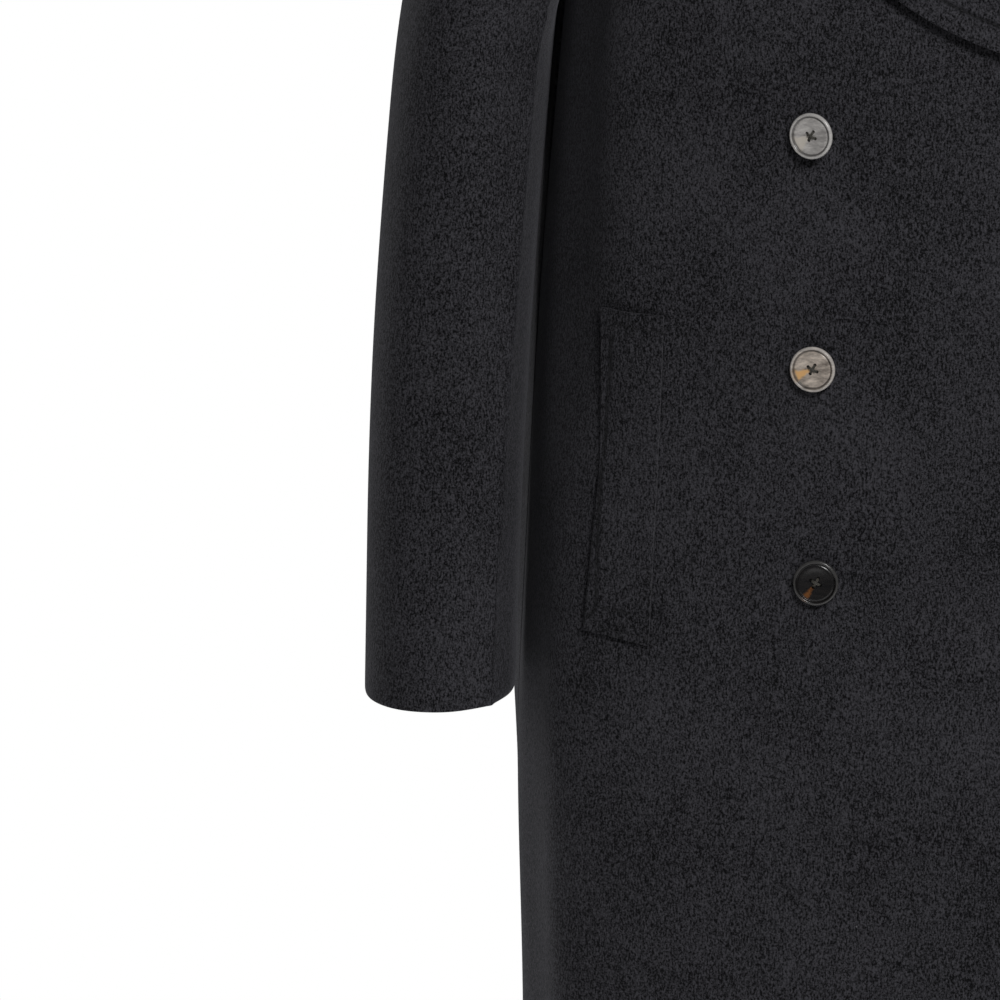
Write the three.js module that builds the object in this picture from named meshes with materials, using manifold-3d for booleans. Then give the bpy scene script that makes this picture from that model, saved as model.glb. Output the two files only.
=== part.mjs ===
// Long double-breasted wool coat, buttoned right over left, hollow and filled out as if worn.
// Millimetres, +Z up. The front faces -Y and the wearer's right is towards -X.
// The origin lies between the shoulders, level with the shoulder seams' neck ends, where a
// wearer's shoulders carry the coat. Each cut piece is a cloth wall worked out from rings,
// seam curves and short tables of sizes, with a hair's gap left open along its seams.
// In the tables, across is the distance past the middle towards the piece's own side.

import * as THREE from "three";
import Module from "manifold-3d";

// Cloth and seams
const CLOTH = 2.5;
const HALF_CLOTH = CLOTH / 2;
const SEAM_GAP = 0.4;
const TURN_GAP = 0.4;

// Heights and the closing: how far each front runs past the middle, and where its lapel turns
const HEM_Z = -1150;
const CHEST_Z = -330;
const LOWER_SHARE = 0.54;
const OVERLAP = 105;
const BREAK_Z = -328;

// Neck and shoulders
const NECK = { x: 76, y: 8 };
const BACK_NECK = { y: 52, z: -16 };
const SHOULDER = { x: 212, y: 6, z: -50 };

// Armholes: share of the way up from the chest at which they start, and how far they cut
// into the front and the back, as shares of the way across, a third of their height up
const ARMHOLE = { start: 0.24, front: 0.25, back: 0.24 };

// Body rings by height: half width, depth before and behind the middle, and squareness
const bodySections = [
  { z: -1150, half: 258, front: 141, back: 132, square: 2.7 },
  { z: -1000, half: 258, front: 137, back: 128, square: 2.9 },
  { z: -860, half: 259, front: 133, back: 125, square: 3.1 },
  { z: -760, half: 262, front: 130, back: 121, square: 3.3 },
  { z: -690, half: 258, front: 128, back: 117, square: 3.4 },
  { z: -620, half: 254, front: 127, back: 111, square: 3.4 },
  { z: -520, half: 249, front: 127, back: 103, square: 3.2 },
  { z: -420, half: 243, front: 132, back: 102, square: 3.0 },
  { z: -330, half: 236, front: 138, back: 110, square: 2.9 },
];

// Long soft folds of the body by angle from the middle front, the wearer's right positive.
// Each swells from its first to its full height, and leans by an angle for each metre down.
const bodyFolds = [
  { angle: 62, lean: 0, width: 5, depth: 5, first: -560, full: -430 },
  { angle: 71, lean: 0, width: 6, depth: -8, first: -600, full: -470 },
  { angle: 68, lean: -2, width: 4.5, depth: 5, first: -500, full: -640 },
  { angle: 76, lean: -1, width: 5.5, depth: -8, first: -560, full: -700 },
  { angle: 104, lean: 0, width: 9, depth: 14, first: -820, full: -650 },
  { angle: 104, lean: 0, width: 10, depth: 10, first: -340, full: -440 },
  { angle: 104, lean: 0, width: 10, depth: -10, first: -650, full: -820 },
  { angle: 118, lean: 4, width: 9, depth: -7, first: -520, full: -900 },
  { angle: 140, lean: 6, width: 9, depth: 9, first: -480, full: -980 },
  { angle: 160, lean: 3, width: 8, depth: -6, first: -560, full: -1050 },
  { angle: 40, lean: -4, width: 9, depth: -4, first: -760, full: -1120 },
  { angle: -63, lean: 1, width: 5, depth: 5, first: -580, full: -440 },
  { angle: -71, lean: 1, width: 6, depth: -7, first: -620, full: -480 },
  { angle: -67, lean: 2, width: 5, depth: 5, first: -480, full: -610 },
  { angle: -75, lean: 2, width: 6, depth: -8, first: -540, full: -720 },
  { angle: -104, lean: 0, width: 9, depth: 13, first: -810, full: -640 },
  { angle: -104, lean: 0, width: 10, depth: 9, first: -345, full: -450 },
  { angle: -104, lean: 0, width: 10, depth: -9, first: -640, full: -810 },
  { angle: -112, lean: -3, width: 9, depth: -6, first: -560, full: -860 },
  { angle: -134, lean: -7, width: 10, depth: 8, first: -460, full: -1010 },
  { angle: -157, lean: -3, width: 8, depth: -7, first: -600, full: -1000 },
  { angle: -44, lean: 5, width: 9, depth: -4, first: -800, full: -1130 },
];

// Sleeve rings by height: outer and inner reach from the coat's middle, middle depth,
// half depth and squareness. The first is the cuff, which is cut lower in front.
const sleeveSections = [
  { z: -697, outer: 349, inner: 258.5, middleY: -56, half: 57, square: 2.2 },
  { z: -640, outer: 348.5, inner: 257.5, middleY: -48, half: 59, square: 2.3 },
  { z: -570, outer: 348, inner: 256, middleY: -37, half: 62, square: 2.4 },
  { z: -490, outer: 345.5, inner: 252, middleY: -28, half: 66, square: 2.4 },
  { z: -410, outer: 340.5, inner: 247, middleY: -21, half: 70, square: 2.4 },
  { z: -330, outer: 334, inner: 241, middleY: -16, half: 74, square: 2.4 },
];
const SLEEVE_TOP_Z = -330;
const CAP_SHARE = 0.42;
const CUFF_TILT = 0.12;
const CUFF_TILT_HEIGHT = 150;

// Soft folds of the sleeves: angle from the outer side, positive to the front
const sleeveFolds = [
  { angle: 118, width: 16, depth: 3, z: -420, reach: 190 },
  { angle: 84, width: 15, depth: -2, z: -560, reach: 120 },
  { angle: 250, width: 18, depth: -4, z: -530, reach: 90 },
  { angle: 300, width: 16, depth: 3, z: -480, reach: 130 },
];

// Lapel: outer edge from the break to the peak, as seen from the front, and its roll
const lapelEdge = [
  { along: 0, across: -105, z: -328 },
  { along: 0.09, across: -66, z: -324 },
  { along: 0.17, across: -28, z: -314 },
  { along: 0.245, across: 2, z: -302.5 },
  { along: 0.33, across: 33, z: -285 },
  { along: 0.46, across: 76, z: -251 },
  { along: 0.59, across: 111, z: -212 },
  { along: 0.74, across: 138, z: -165 },
  { along: 0.88, across: 153, z: -120 },
  { along: 1, across: 161, z: -84 },
];
const GORGE = { notchAcross: 104, notchZ: -100, notchShare: 0.64, hair: 0.0032 };
const ROLL = { radius: 2.4, steps: 4 };
const LAPEL = { height: 4.3, edgeLift: 2.6, first: 0.035, alongSteps: 15 };

// How far the left front lies under the right one, and under the left lapel's foot as well
const UNDER = { depth: 3.2, lapelDepth: 12, fade: 30, lapelFade: 100 };

// Collar from the middle back (0) past the shoulder seam to the gorge (1): height of its
// stand, roundness of its fold, and its outer edge with the height at which that is laid
const COLLAR_SHOULDER = 0.6;
const collarRings = [
  { along: 0, stand: 40, roll: 3.4, edgeX: 0, edgeY: 70, edgeZ: -46, laid: 4.8 },
  { along: 0.2, stand: 39, roll: 3.4, edgeX: 50, edgeY: 66, edgeZ: -44, laid: 5.6 },
  { along: 0.42, stand: 36, roll: 3.3, edgeX: 100, edgeY: 50, edgeZ: -36, laid: 6.6 },
  { along: 0.6, stand: 29, roll: 3, edgeX: 127, edgeY: 10, edgeZ: -26, laid: 5.6 },
  { along: 0.8, stand: 15, roll: 2.6, edgeX: 129, edgeY: -34, edgeZ: -40, laid: 5 },
  { along: 1, stand: 3, roll: 2.2, edgeX: 122, edgeY: -70, edgeZ: -66, laid: 4.6 },
];
const COLLAR = { height: 4.6, extra: 2, standSteps: 3, foldSteps: 4, fallSteps: 6 };
const COLLAR_END = { across: 122, z: -66, notchShare: 2 / 3 };

// Pocket welt corners seen from the front, round the opening from its upper outer corner
const pocketCorners = [
  { across: 203.5, z: -464 },
  { across: 167.5, z: -467 },
  { across: 175.5, z: -661 },
  { across: 214, z: -654 },
];
const WELT_THICKNESS = 1.8;
const WELT_REACH = 16;

// Buttons: distance past the middle, height, and how far each leans round on its shank
const buttonRows = [
  { across: 82, z: -359.5, lean: 18 },
  { across: 81, z: -495, lean: 7 },
  { across: 78.5, z: -620, lean: 1 },
];
const BUTTON_HOLES = { count: 4, radius: 1, circle: 2.9, turn: 62, sides: 8, depth: 6 };
const BUTTON_SEGMENTS = 20;
const buttonProfile = [
  { radius: 9.2, height: 0 },
  { radius: 12.4, height: 0.8 },
  { radius: 13.4, height: 2.2 },
  { radius: 13, height: 3.5 },
  { radius: 12.1, height: 3.9 },
  { radius: 11, height: 3.1 },
  { radius: 9.6, height: 3.1 },
  { radius: 6.2, height: 2.5 },
];
const BUTTON_FRONT = 2.3;
const SHANK_RADIUS = 1.8;
const SHANK_LEAST = 0.4;

const CLOTH_COLOUR = 0x25242a;
const BUTTON_COLOUR = 0x4a413a;

const DEGREE = Math.PI / 180;
const UP = new THREE.Vector3(0, 0, 1);
const STEP = 0.004;

const wasm = await Module();
wasm.setup();

const point = (x, y, z) => new THREE.Vector3(x, y, z);
const mix = THREE.MathUtils.lerp;
const limit = THREE.MathUtils.clamp;
const bell = (distance) => Math.exp(-distance * distance);

function ease(from, to, value) {
  const share = limit((value - from) / (to - from), 0, 1);
  return share * share * (3 - 2 * share);
}

function steps(count, from = 0, to = 1) {
  return Array.from({ length: count + 1 }, (_, i) => mix(from, to, i / count));
}

// A smooth curve through a table's rows, which are in rising order of the column named key
function curveThrough(table, key) {
  const last = table.length - 1;
  const names = Object.keys(table[0]).filter((name) => name !== key);
  const slope = (i, name) => {
    const before = table[Math.max(i - 1, 0)];
    const after = table[Math.min(i + 1, last)];
    return (after[name] - before[name]) / (after[key] - before[key]);
  };
  return (value) => {
    let i = 0;
    while (i < last - 1 && value > table[i + 1][key]) i += 1;
    const low = table[i];
    const high = table[i + 1];
    const span = high[key] - low[key];
    const t = limit((value - low[key]) / span, 0, 1);
    const row = {};
    for (const name of names) {
      const bend = slope(i, name) * (1 - t) - slope(i + 1, name) * t;
      row[name] = mix(low[name], high[name], t * t * (3 - 2 * t)) + span * t * (1 - t) * bend;
    }
    return row;
  };
}

// A cubic from start to end that leaves and arrives along the given directions
function sweep(start, leaving, leaveShare, end, arriving, arriveShare, t) {
  const reach = start.distanceTo(end);
  const near = start.clone().addScaledVector(leaving, reach * leaveShare);
  const far = end.clone().addScaledVector(arriving, -reach * arriveShare);
  const here = new THREE.CubicBezierCurve3(start, near, far, end).getPoint(limit(t, 0, 1));
  return here.addScaledVector(arriving, reach * Math.max(t - 1, 0));
}

// Body

const bodyAt = curveThrough(bodySections, "z");

function foldsAt(angle, z) {
  let sum = 0;
  for (const fold of bodyFolds) {
    const centre = fold.angle + (fold.lean * (fold.first - z)) / 1000;
    sum += fold.depth * ease(fold.first, fold.full, z) * bell((angle - centre) / fold.width);
  }
  return sum;
}

// Distance from the middle of a rounded box shape to its rim, along an angle
function roundedReach(sine, cosine, halfAcross, halfDeep, square) {
  const sum = Math.abs(sine / halfAcross) ** square + Math.abs(cosine / halfDeep) ** square;
  return sum ** (-1 / square);
}

function bodyPoint(angle, z) {
  const row = bodyAt(z);
  const sine = Math.sin(angle * DEGREE);
  const cosine = Math.cos(angle * DEGREE);
  const deep = (cosine > 0 ? row.front : row.back) - HALF_CLOTH;
  const reach = roundedReach(sine, cosine, row.half - HALF_CLOTH, deep, row.square);
  const full = reach + foldsAt(angle, z);
  return point(-full * sine, -full * cosine, z);
}

// Angle at which a ring stands at a distance to the wearer's right, kept once found
const foundAngles = new Map();

function angleAcross(across, z) {
  const key = `${across} ${z}`;
  if (!foundAngles.has(key)) {
    let low = -60;
    let high = 60;
    for (let i = 0; i < 30; i += 1) {
      const middle = (low + high) / 2;
      if (-bodyPoint(middle, z).x < across) low = middle;
      else high = middle;
    }
    foundAngles.set(key, low);
  }
  return foundAngles.get(key);
}

// Angle at a share of a ring's length between two angles, with the lengths kept by height
const RING_SAMPLES = 60;
const ringLengths = new Map();

function sharedAngle(z, from, to, share) {
  const key = `${z} ${from} ${to}`;
  if (!ringLengths.has(key)) {
    const points = steps(RING_SAMPLES, from, to).map((angle) => bodyPoint(angle, z));
    const sums = [0];
    for (let i = 1; i <= RING_SAMPLES; i += 1) {
      sums.push(sums[i - 1] + points[i].distanceTo(points[i - 1]));
    }
    ringLengths.set(key, sums);
  }
  const lengths = ringLengths.get(key);
  const wanted = limit(share, 0, 1) * lengths[RING_SAMPLES];
  let i = 1;
  while (i < RING_SAMPLES && lengths[i] < wanted) i += 1;
  const within = (wanted - lengths[i - 1]) / (lengths[i] - lengths[i - 1]);
  return mix(from, to, (i - 1 + within) / RING_SAMPLES);
}

function shoulderSeam(side, share) {
  const y = mix(NECK.y, SHOULDER.y, share);
  return point(-side * mix(NECK.x, SHOULDER.x, share), y, SHOULDER.z * share);
}

// Upward normal of the shoulder seam, which the cloth on both of its sides shares
const shoulderUp = (side) => point(side * SHOULDER.z, 0, SHOULDER.x - NECK.x).normalize();

function backNeck(side, share) {
  const x = NECK.x * Math.sin((share * Math.PI) / 2);
  const y = mix(BACK_NECK.y, NECK.y, Math.abs(share) ** 2.2);
  return point(-side * x, y, mix(BACK_NECK.z, 0, share * share));
}

// The torso rounds out before and behind the shoulder's end, from above the armpit
const SHOULDER_ROUND = { depth: 20, from: 0.3 };
const FULL_ROUND = 27 / 4;

function shoulderRound(across, up) {
  const t = (up - LOWER_SHARE) / (1 - LOWER_SHARE);
  const rise = Math.max((t - SHOULDER_ROUND.from) / (1 - SHOULDER_ROUND.from), 0);
  return SHOULDER_ROUND.depth * FULL_ROUND * rise * rise * (1 - rise) * ease(0.5, 1, across);
}

const OVER_SHOULDER = { front: point(0, 1, 0.12).normalize(), back: point(0, -1, 0.12).normalize() };
const UP_THE_NECK = point(0, -0.45, 0.9).normalize();
const UP_THE_SIDE = point(0, 0, 1);
const RISE_SAMPLE = 20;

// Upper part of a column: from the chest ring up to the shoulder seam or the neck
function column(start, rising, end, arriving, up) {
  const t = (up - LOWER_SHARE) / (1 - LOWER_SHARE);
  return sweep(start, rising, 0.36, end, arriving, 0.22, t);
}

// Front of a torso without arms, by two shares. Across runs from the front edge and roll line
// to the side, with the overlap as its first half. Up runs from the hem to the shoulder seam.
const FRONT_OVERLAP_SHARE = 0.5;

function frontRing(side, across, z) {
  if (across > FRONT_OVERLAP_SHARE) {
    const share = (across - FRONT_OVERLAP_SHARE) / (1 - FRONT_OVERLAP_SHARE);
    const start = angleAcross(side * OVERLAP, z);
    return bodyPoint(sharedAngle(z, start, side * 90, share), z);
  }
  const along = side * mix(-OVERLAP, OVERLAP, across / FRONT_OVERLAP_SHARE);
  return bodyPoint(angleAcross(along, z), z);
}

function frontBase(side, across, up) {
  if (up <= LOWER_SHARE) return frontRing(side, across, mix(HEM_Z, CHEST_Z, up / LOWER_SHARE));
  const start = frontRing(side, across, CHEST_Z);
  const end = shoulderSeam(side, across);
  const rising = start.clone().sub(frontRing(side, across, CHEST_Z - RISE_SAMPLE)).normalize();
  const leaving = end.clone().sub(start);
  leaving.setY((leaving.z * rising.y) / rising.z).normalize();
  leaving.lerp(rising, ease(0, 0.6, across)).normalize();
  const arriving = OVER_SHOULDER.front.clone().lerp(UP_THE_SIDE, ease(0.5, 1, across)).normalize();
  return column(start, leaving, end, arriving, up).add(point(0, -shoulderRound(across, up), 0));
}

// Back of the torso by two shares, across from the middle back to the side
const BACK_NECK_SHARE = 0.24;

function backBase(side, across, up) {
  const ring = (z) => bodyPoint(sharedAngle(z, side * 180, side * 90, across), z);
  if (up <= LOWER_SHARE) return ring(mix(HEM_Z, CHEST_Z, up / LOWER_SHARE));
  const start = ring(CHEST_Z);
  const rising = start.clone().sub(ring(CHEST_Z - RISE_SAMPLE)).normalize();
  const neckShare = across / BACK_NECK_SHARE;
  const shoulderShare = limit((across - BACK_NECK_SHARE) / (1 - BACK_NECK_SHARE), 0, 1);
  const end = neckShare < 1 ? backNeck(side, neckShare) : shoulderSeam(side, shoulderShare);
  const arriving = UP_THE_NECK.clone().lerp(OVER_SHOULDER.back, ease(0.3, 1, neckShare));
  arriving.lerp(UP_THE_SIDE, ease(0.5, 1, across)).normalize();
  return column(start, rising, end, arriving, up).add(point(0, shoulderRound(across, up), 0));
}

// Outward normal of a surface of two shares, by small steps either way
function normalOf(surface, across, up, turn) {
  const sideways = surface(across + STEP, up).sub(surface(across - STEP, up));
  const upwards = surface(across, up + STEP).sub(surface(across, up - STEP));
  return sideways.cross(upwards).multiplyScalar(turn).normalize();
}

// Distance to the wearer's left of the right front's roll line at a height
function rollAcross(z) {
  return mix(OVERLAP, -NECK.x, limit((z - BREAK_Z) / -BREAK_Z, 0, 1));
}

// How far the left front is pushed in at a place x and z seen from the front
function underDepth(x, z) {
  const lapelZone = ease(BREAK_Z - 45, BREAK_Z - 10, z);
  const clear = rollAcross(z);
  const covered = 1 - ease(clear + 8, clear + mix(UNDER.fade, UNDER.lapelFade, lapelZone), x);
  return mix(UNDER.depth, UNDER.lapelDepth, lapelZone) * covered;
}

function frontTorso(side) {
  const base = (across, up) => frontBase(side, across, up);
  if (side > 0) return base;
  return (across, up) => {
    const here = base(across, up);
    const depth = underDepth(here.x, here.z);
    return depth > 0 ? here.addScaledVector(normalOf(base, across, up, -side), -depth) : here;
  };
}

// Share up the torso at which the armholes start
const ARMPIT_SHARE = mix(LOWER_SHARE, 1, ARMHOLE.start);

// A panel of the torso that stops at the armhole: a place, and the normal there. The armhole
// has a round foot, and meets the shoulder seam nearly square.
const FULL_CUT = Math.sqrt(27) / 2;

function panelOf(torso, turn, cutIn) {
  const drawnIn = (across, up) => {
    const rise = limit((up - ARMPIT_SHARE) / (1 - ARMPIT_SHARE), 0, 1);
    return across - cutIn * FULL_CUT * (1 - rise) * Math.sqrt(rise) * across * across;
  };
  return {
    at: (across, up) => torso(drawnIn(across, up), up),
    normal: (across, up) => normalOf(torso, drawnIn(across, up), up, turn),
  };
}

const frontPanel = (side) => panelOf(frontTorso(side), -side, ARMHOLE.front);
const backPanel = (side) => {
  const torso = (across, up) => backBase(side, across, up);
  return panelOf(torso, side, ARMHOLE.back);
};

// Point of the armhole seam: 0 at the shoulder, a quarter in front, a half under the arm
function armholeShare(turn) {
  return mix(ARMPIT_SHARE, 1, (1 + Math.cos(turn * 2 * Math.PI)) / 2);
}

// The cloth beside the seam turns face up towards the shoulder
function armholeNormal(side, panel, up) {
  const top = ease(mix(ARMPIT_SHARE, 1, 0.72), 1, up);
  return panel.normal(1, up).lerp(shoulderUp(side), top).normalize();
}

function armhole(side, turn) {
  const whole = ((turn % 1) + 1) % 1;
  const panel = whole <= 0.5 ? frontPanel(side) : backPanel(side);
  const up = armholeShare(whole);
  return { here: panel.at(1, up), normal: armholeNormal(side, panel, up) };
}

// Place on a front seen at a distance across and a height, found by repeated correction
function placeOnFront(side, across, z) {
  const panel = frontTorso(side);
  const step = 1e-3;
  const near = 1e-3;
  let u = limit((across + OVERLAP) / 420, 0.02, 0.9);
  let v = z < CHEST_Z ? (LOWER_SHARE * (z - HEM_Z)) / (CHEST_Z - HEM_Z) : mix(1, 0.56, z / CHEST_Z);
  for (let i = 0; i < 24; i += 1) {
    const here = panel(u, v);
    const missX = -side * across - here.x;
    const missZ = z - here.z;
    if (Math.abs(missX) + Math.abs(missZ) < near) break;
    const byU = panel(u + step, v).sub(here).divideScalar(step);
    const byV = panel(u, v + step).sub(here).divideScalar(step);
    const size = byU.x * byV.z - byV.x * byU.z;
    u = limit(u + limit((missX * byV.z - byV.x * missZ) / size, -0.1, 0.1), 0, 0.99);
    v = limit(v + limit((byU.x * missZ - missX * byU.z) / size, -0.1, 0.1), 0, 0.99);
  }
  return { here: panel(u, v), normal: normalOf(panel, u, v, -side) };
}

function meshGeometry(positions, faces) {
  const geometry = new THREE.BufferGeometry();
  geometry.setAttribute("position", new THREE.Float32BufferAttribute(positions, 3));
  geometry.setIndex(faces);
  geometry.computeVertexNormals();
  return geometry;
}

// Turns each face the other way round on a mirrored side
function turnFaces(faces, turn) {
  if (turn > 0) return faces;
  for (let k = 0; k < faces.length; k += 3) {
    [faces[k], faces[k + 1]] = [faces[k + 1], faces[k]];
  }
  return faces;
}

// A closed wall on a grid of places, each with its centre and normal
function wallOn(grid, turn, thickness = CLOTH) {
  const columns = grid.length;
  const rows = grid[0].length;
  const positions = [];
  for (const layer of [1, -1]) {
    for (const place of grid.flat()) {
      const half = (layer * thickness) / 2;
      positions.push(...place.here.clone().addScaledVector(place.normal, half).toArray());
    }
  }
  const faces = [];
  const at = (layer, i, j) => (layer * columns + i) * rows + j;
  const quad = (a, b, c, d) => faces.push(a, b, c, a, c, d);
  for (let i = 0; i < columns - 1; i += 1) {
    for (let j = 0; j < rows - 1; j += 1) {
      quad(at(0, i, j), at(0, i + 1, j), at(0, i + 1, j + 1), at(0, i, j + 1));
      quad(at(1, i, j), at(1, i, j + 1), at(1, i + 1, j + 1), at(1, i + 1, j));
    }
    const top = rows - 1;
    quad(at(0, i + 1, 0), at(0, i, 0), at(1, i, 0), at(1, i + 1, 0));
    quad(at(0, i, top), at(0, i + 1, top), at(1, i + 1, top), at(1, i, top));
  }
  for (let j = 0; j < rows - 1; j += 1) {
    const far = columns - 1;
    quad(at(0, 0, j), at(0, 0, j + 1), at(1, 0, j + 1), at(1, 0, j));
    quad(at(0, far, j + 1), at(0, far, j), at(1, far, j), at(1, far, j + 1));
  }
  return meshGeometry(positions, turnFaces(faces, turn));
}

// Places at two lists of shares, with chosen borders drawn in for the seams
function gridOf(panel, acrossShares, upShares, borders, inset = SEAM_GAP / 2) {
  const grid = acrossShares.map((across) =>
    upShares.map((up) => ({ here: panel.at(across, up), normal: panel.normal(across, up) })),
  );
  const drawIn = (border, next) =>
    border.forEach((place, k) => {
      const inwards = next[k].here.clone().sub(place.here).normalize();
      place.here.addScaledVector(inwards, inset);
    });
  const rowOf = (j) => grid.map((column) => column[j]);
  const lastColumn = grid.length - 1;
  const lastRow = grid[0].length - 1;
  if (borders.includes("start")) drawIn(grid[0], grid[1]);
  if (borders.includes("end")) drawIn(grid[lastColumn], grid[lastColumn - 1]);
  if (borders.includes("top")) drawIn(rowOf(lastRow), rowOf(lastRow - 1));
  return grid;
}

function piece(name, geometry, color, roughness) {
  const material = new THREE.MeshStandardMaterial({ color, roughness, metalness: 0 });
  const mesh = new THREE.Mesh(geometry, material);
  mesh.name = name;
  return mesh;
}

const clothPiece = (name, geometry) => piece(name, geometry, CLOTH_COLOUR, 0.95);
const sideName = (side) => (side > 0 ? "right" : "left");

// Columns sit closer together where the front turns the corner to the side
const overlapColumns = steps(9, 0, FRONT_OVERLAP_SHARE);
const cornerColumns = [0.58, 0.65, 0.7, 0.745, 0.79, 0.835, 0.88, 0.935, 1];
const frontColumns = [...overlapColumns, ...cornerColumns];
const neckColumns = steps(7, 0, BACK_NECK_SHARE);
const shoulderColumns = [0.17, 0.34, 0.5, 0.65, 0.745, 0.835, 0.935, 1];
const backColumns = [...neckColumns, ...shoulderColumns.map((share) => mix(BACK_NECK_SHARE, 1, share))];

// Rows follow the armhole's round foot and the collar's rings, from a list of its turns
const armholeTurns = [0.5, 0.465, 0.42, 0.36, 0.29, 0.24, 0.2, 0.165, 0.13, 0.1, 0.06, 0];
const GORGE_ROW = 6;
const upperRows = armholeTurns.map(armholeShare);
const GORGE_SHARE = upperRows[GORGE_ROW];
const rollRows = upperRows.slice(GORGE_ROW);
const bodyRows = [
  ...steps(12, 0, LOWER_SHARE),
  ...steps(2, LOWER_SHARE, ARMPIT_SHARE).slice(1),
  ...upperRows.slice(1),
];

// Both panels of a side take the same normals along the side seam and the shoulder seam
function sideNormal(side, up) {
  return frontPanel(side).normal(1, up).add(backPanel(side).normal(1, up)).normalize();
}

function setSeamNormals(side, panel, grid, shoulderFrom) {
  bodyRows.forEach((up, j) => {
    const below = up <= ARMPIT_SHARE;
    const normal = below ? sideNormal(side, up) : armholeNormal(side, panel, up);
    grid[grid.length - 1][j].normal.copy(normal);
  });
  for (const column of grid.slice(shoulderFrom)) {
    column[bodyRows.length - 1].normal.copy(shoulderUp(side));
  }
}

function frontGrid(side) {
  const panel = frontPanel(side);
  const grid = gridOf(panel, frontColumns, bodyRows, ["start", "end", "top"]);
  setSeamNormals(side, panel, grid, 0);
  return grid;
}

function makeBack(side) {
  const panel = backPanel(side);
  const grid = gridOf(panel, backColumns, bodyRows, ["start", "end", "top"]);
  setSeamNormals(side, panel, grid, neckColumns.length - 1);
  for (const place of grid[0]) place.normal.setX(0).normalize();
  return clothPiece(`back_${sideName(side)}`, wallOn(grid, side));
}

// Sleeves

const sleeveAt = curveThrough(sleeveSections, "z");
const CUFF_Z = sleeveSections[0].z;

function sleeveRing(side, turn, z) {
  const row = sleeveAt(z);
  const sine = Math.sin(turn * 2 * Math.PI);
  const cosine = Math.cos(turn * 2 * Math.PI);
  const halfAcross = (row.outer - row.inner) / 2 - HALF_CLOTH;
  let reach = roundedReach(cosine, sine, halfAcross, row.half - HALF_CLOTH, row.square);
  for (const fold of sleeveFolds) {
    const away = ((((turn * 360 - fold.angle) % 360) + 540) % 360) - 180;
    reach += fold.depth * bell(away / fold.width) * bell((z - fold.z) / fold.reach);
  }
  const middle = (row.outer + row.inner) / 2;
  const tilt = CUFF_TILT * ease(CUFF_Z + CUFF_TILT_HEIGHT, CUFF_Z, z);
  const forwards = reach * sine;
  return point(-side * (middle + reach * cosine), row.middleY - forwards, z - tilt * forwards);
}

// Start of the sleeve: past the armhole's edge, and on top of the body where it folds back
function sleeveStart(side, turn, leaving) {
  const { here, normal } = armhole(side, turn);
  const tangent = armhole(side, turn + STEP).here.sub(armhole(side, turn - STEP).here).normalize();
  const beyond = tangent.cross(normal).multiplyScalar(side).normalize();
  const bend = Math.atan2(leaving.dot(normal), leaving.dot(beyond));
  const gap = SEAM_GAP * (2 + bell((turn - Math.round(turn)) / 0.08));
  const past = gap + HALF_CLOTH * Math.sin(Math.min(Math.abs(bend), Math.PI / 2));
  const back = HALF_CLOTH + gap - HALF_CLOTH / Math.cos(bend) + past * Math.tan(bend);
  const over = Math.abs(bend) > Math.PI / 2 ? Math.max(back, 0) : 0;
  return here.addScaledVector(beyond, past).addScaledVector(normal, over);
}

// Sleeve by turn round the arm and share down its length, with the cap first
function sleeveAtShares(side, turn, down) {
  if (down >= CAP_SHARE) {
    const share = (down - CAP_SHARE) / (1 - CAP_SHARE);
    return sleeveRing(side, turn, mix(SLEEVE_TOP_Z, CUFF_Z, share));
  }
  const under = (1 - Math.cos(turn * 2 * Math.PI)) / 2;
  const sideways = -side * mix(0.95, 0.3, under);
  const forwards = -0.45 * Math.sin(turn * 2 * Math.PI);
  const leaving = point(sideways, forwards, -mix(0.3, 1, under)).normalize();
  const start = sleeveStart(side, turn, leaving);
  const end = sleeveRing(side, turn, SLEEVE_TOP_Z);
  const arriving = sleeveRing(side, turn, SLEEVE_TOP_Z - RISE_SAMPLE).sub(end).normalize();
  return sweep(start, leaving, 0.22, end, arriving, 0.36, limit(down / CAP_SHARE, 0, 1));
}

const sleeveRows = [...steps(9, 0, CAP_SHARE), ...steps(11, CAP_SHARE, 1).slice(1)];

// The sleeve's columns meet the body's rows all round the armhole, and two of them are its seams
const SLEEVE_SEAM_TURN = 0.36;
const SLEEVE_SEAM_INSET = 0.45;
const frontTurns = [...armholeTurns].reverse();
const sleeveTopTurns = [
  ...armholeTurns.filter((turn) => turn > 0 && turn <= SLEEVE_SEAM_TURN).map((turn) => -turn),
  ...frontTurns.filter((turn) => turn <= SLEEVE_SEAM_TURN),
];
const sleeveUnderTurns = [
  ...frontTurns.filter((turn) => turn >= SLEEVE_SEAM_TURN),
  ...armholeTurns.filter((turn) => turn < 0.5 && turn >= SLEEVE_SEAM_TURN).map((turn) => 1 - turn),
];

function makeSleeve(side, name, turns) {
  const at = (turn, down) => sleeveAtShares(side, turn, down);
  const sleeve = { at, normal: (turn, down) => normalOf(at, turn, down, -side) };
  const grid = gridOf(sleeve, turns, sleeveRows, ["start", "end"], SLEEVE_SEAM_INSET);
  return clothPiece(`${name}_${sideName(side)}`, wallOn(grid, -side));
}

// Lapels

const lapelEdgeAt = curveThrough(lapelEdge, "along");
const lapelPeak = lapelEdge[lapelEdge.length - 1];
const gorgePoint = frontTorso(1)(0, GORGE_SHARE);
const gorgeRoot = { across: -gorgePoint.x, z: gorgePoint.z };

// Seen from the front, a point of the gorge, then of the peak's upper edge past the notch
function gorgeAt(share) {
  const notch = { across: GORGE.notchAcross, z: GORGE.notchZ };
  const past = share > GORGE.notchShare;
  const t = past ? (share - GORGE.notchShare) / (1 - GORGE.notchShare) : share / GORGE.notchShare;
  const from = past ? notch : gorgeRoot;
  const to = past ? lapelPeak : notch;
  return { across: mix(from.across, to.across, t), z: mix(from.z, to.z, t) };
}

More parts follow.
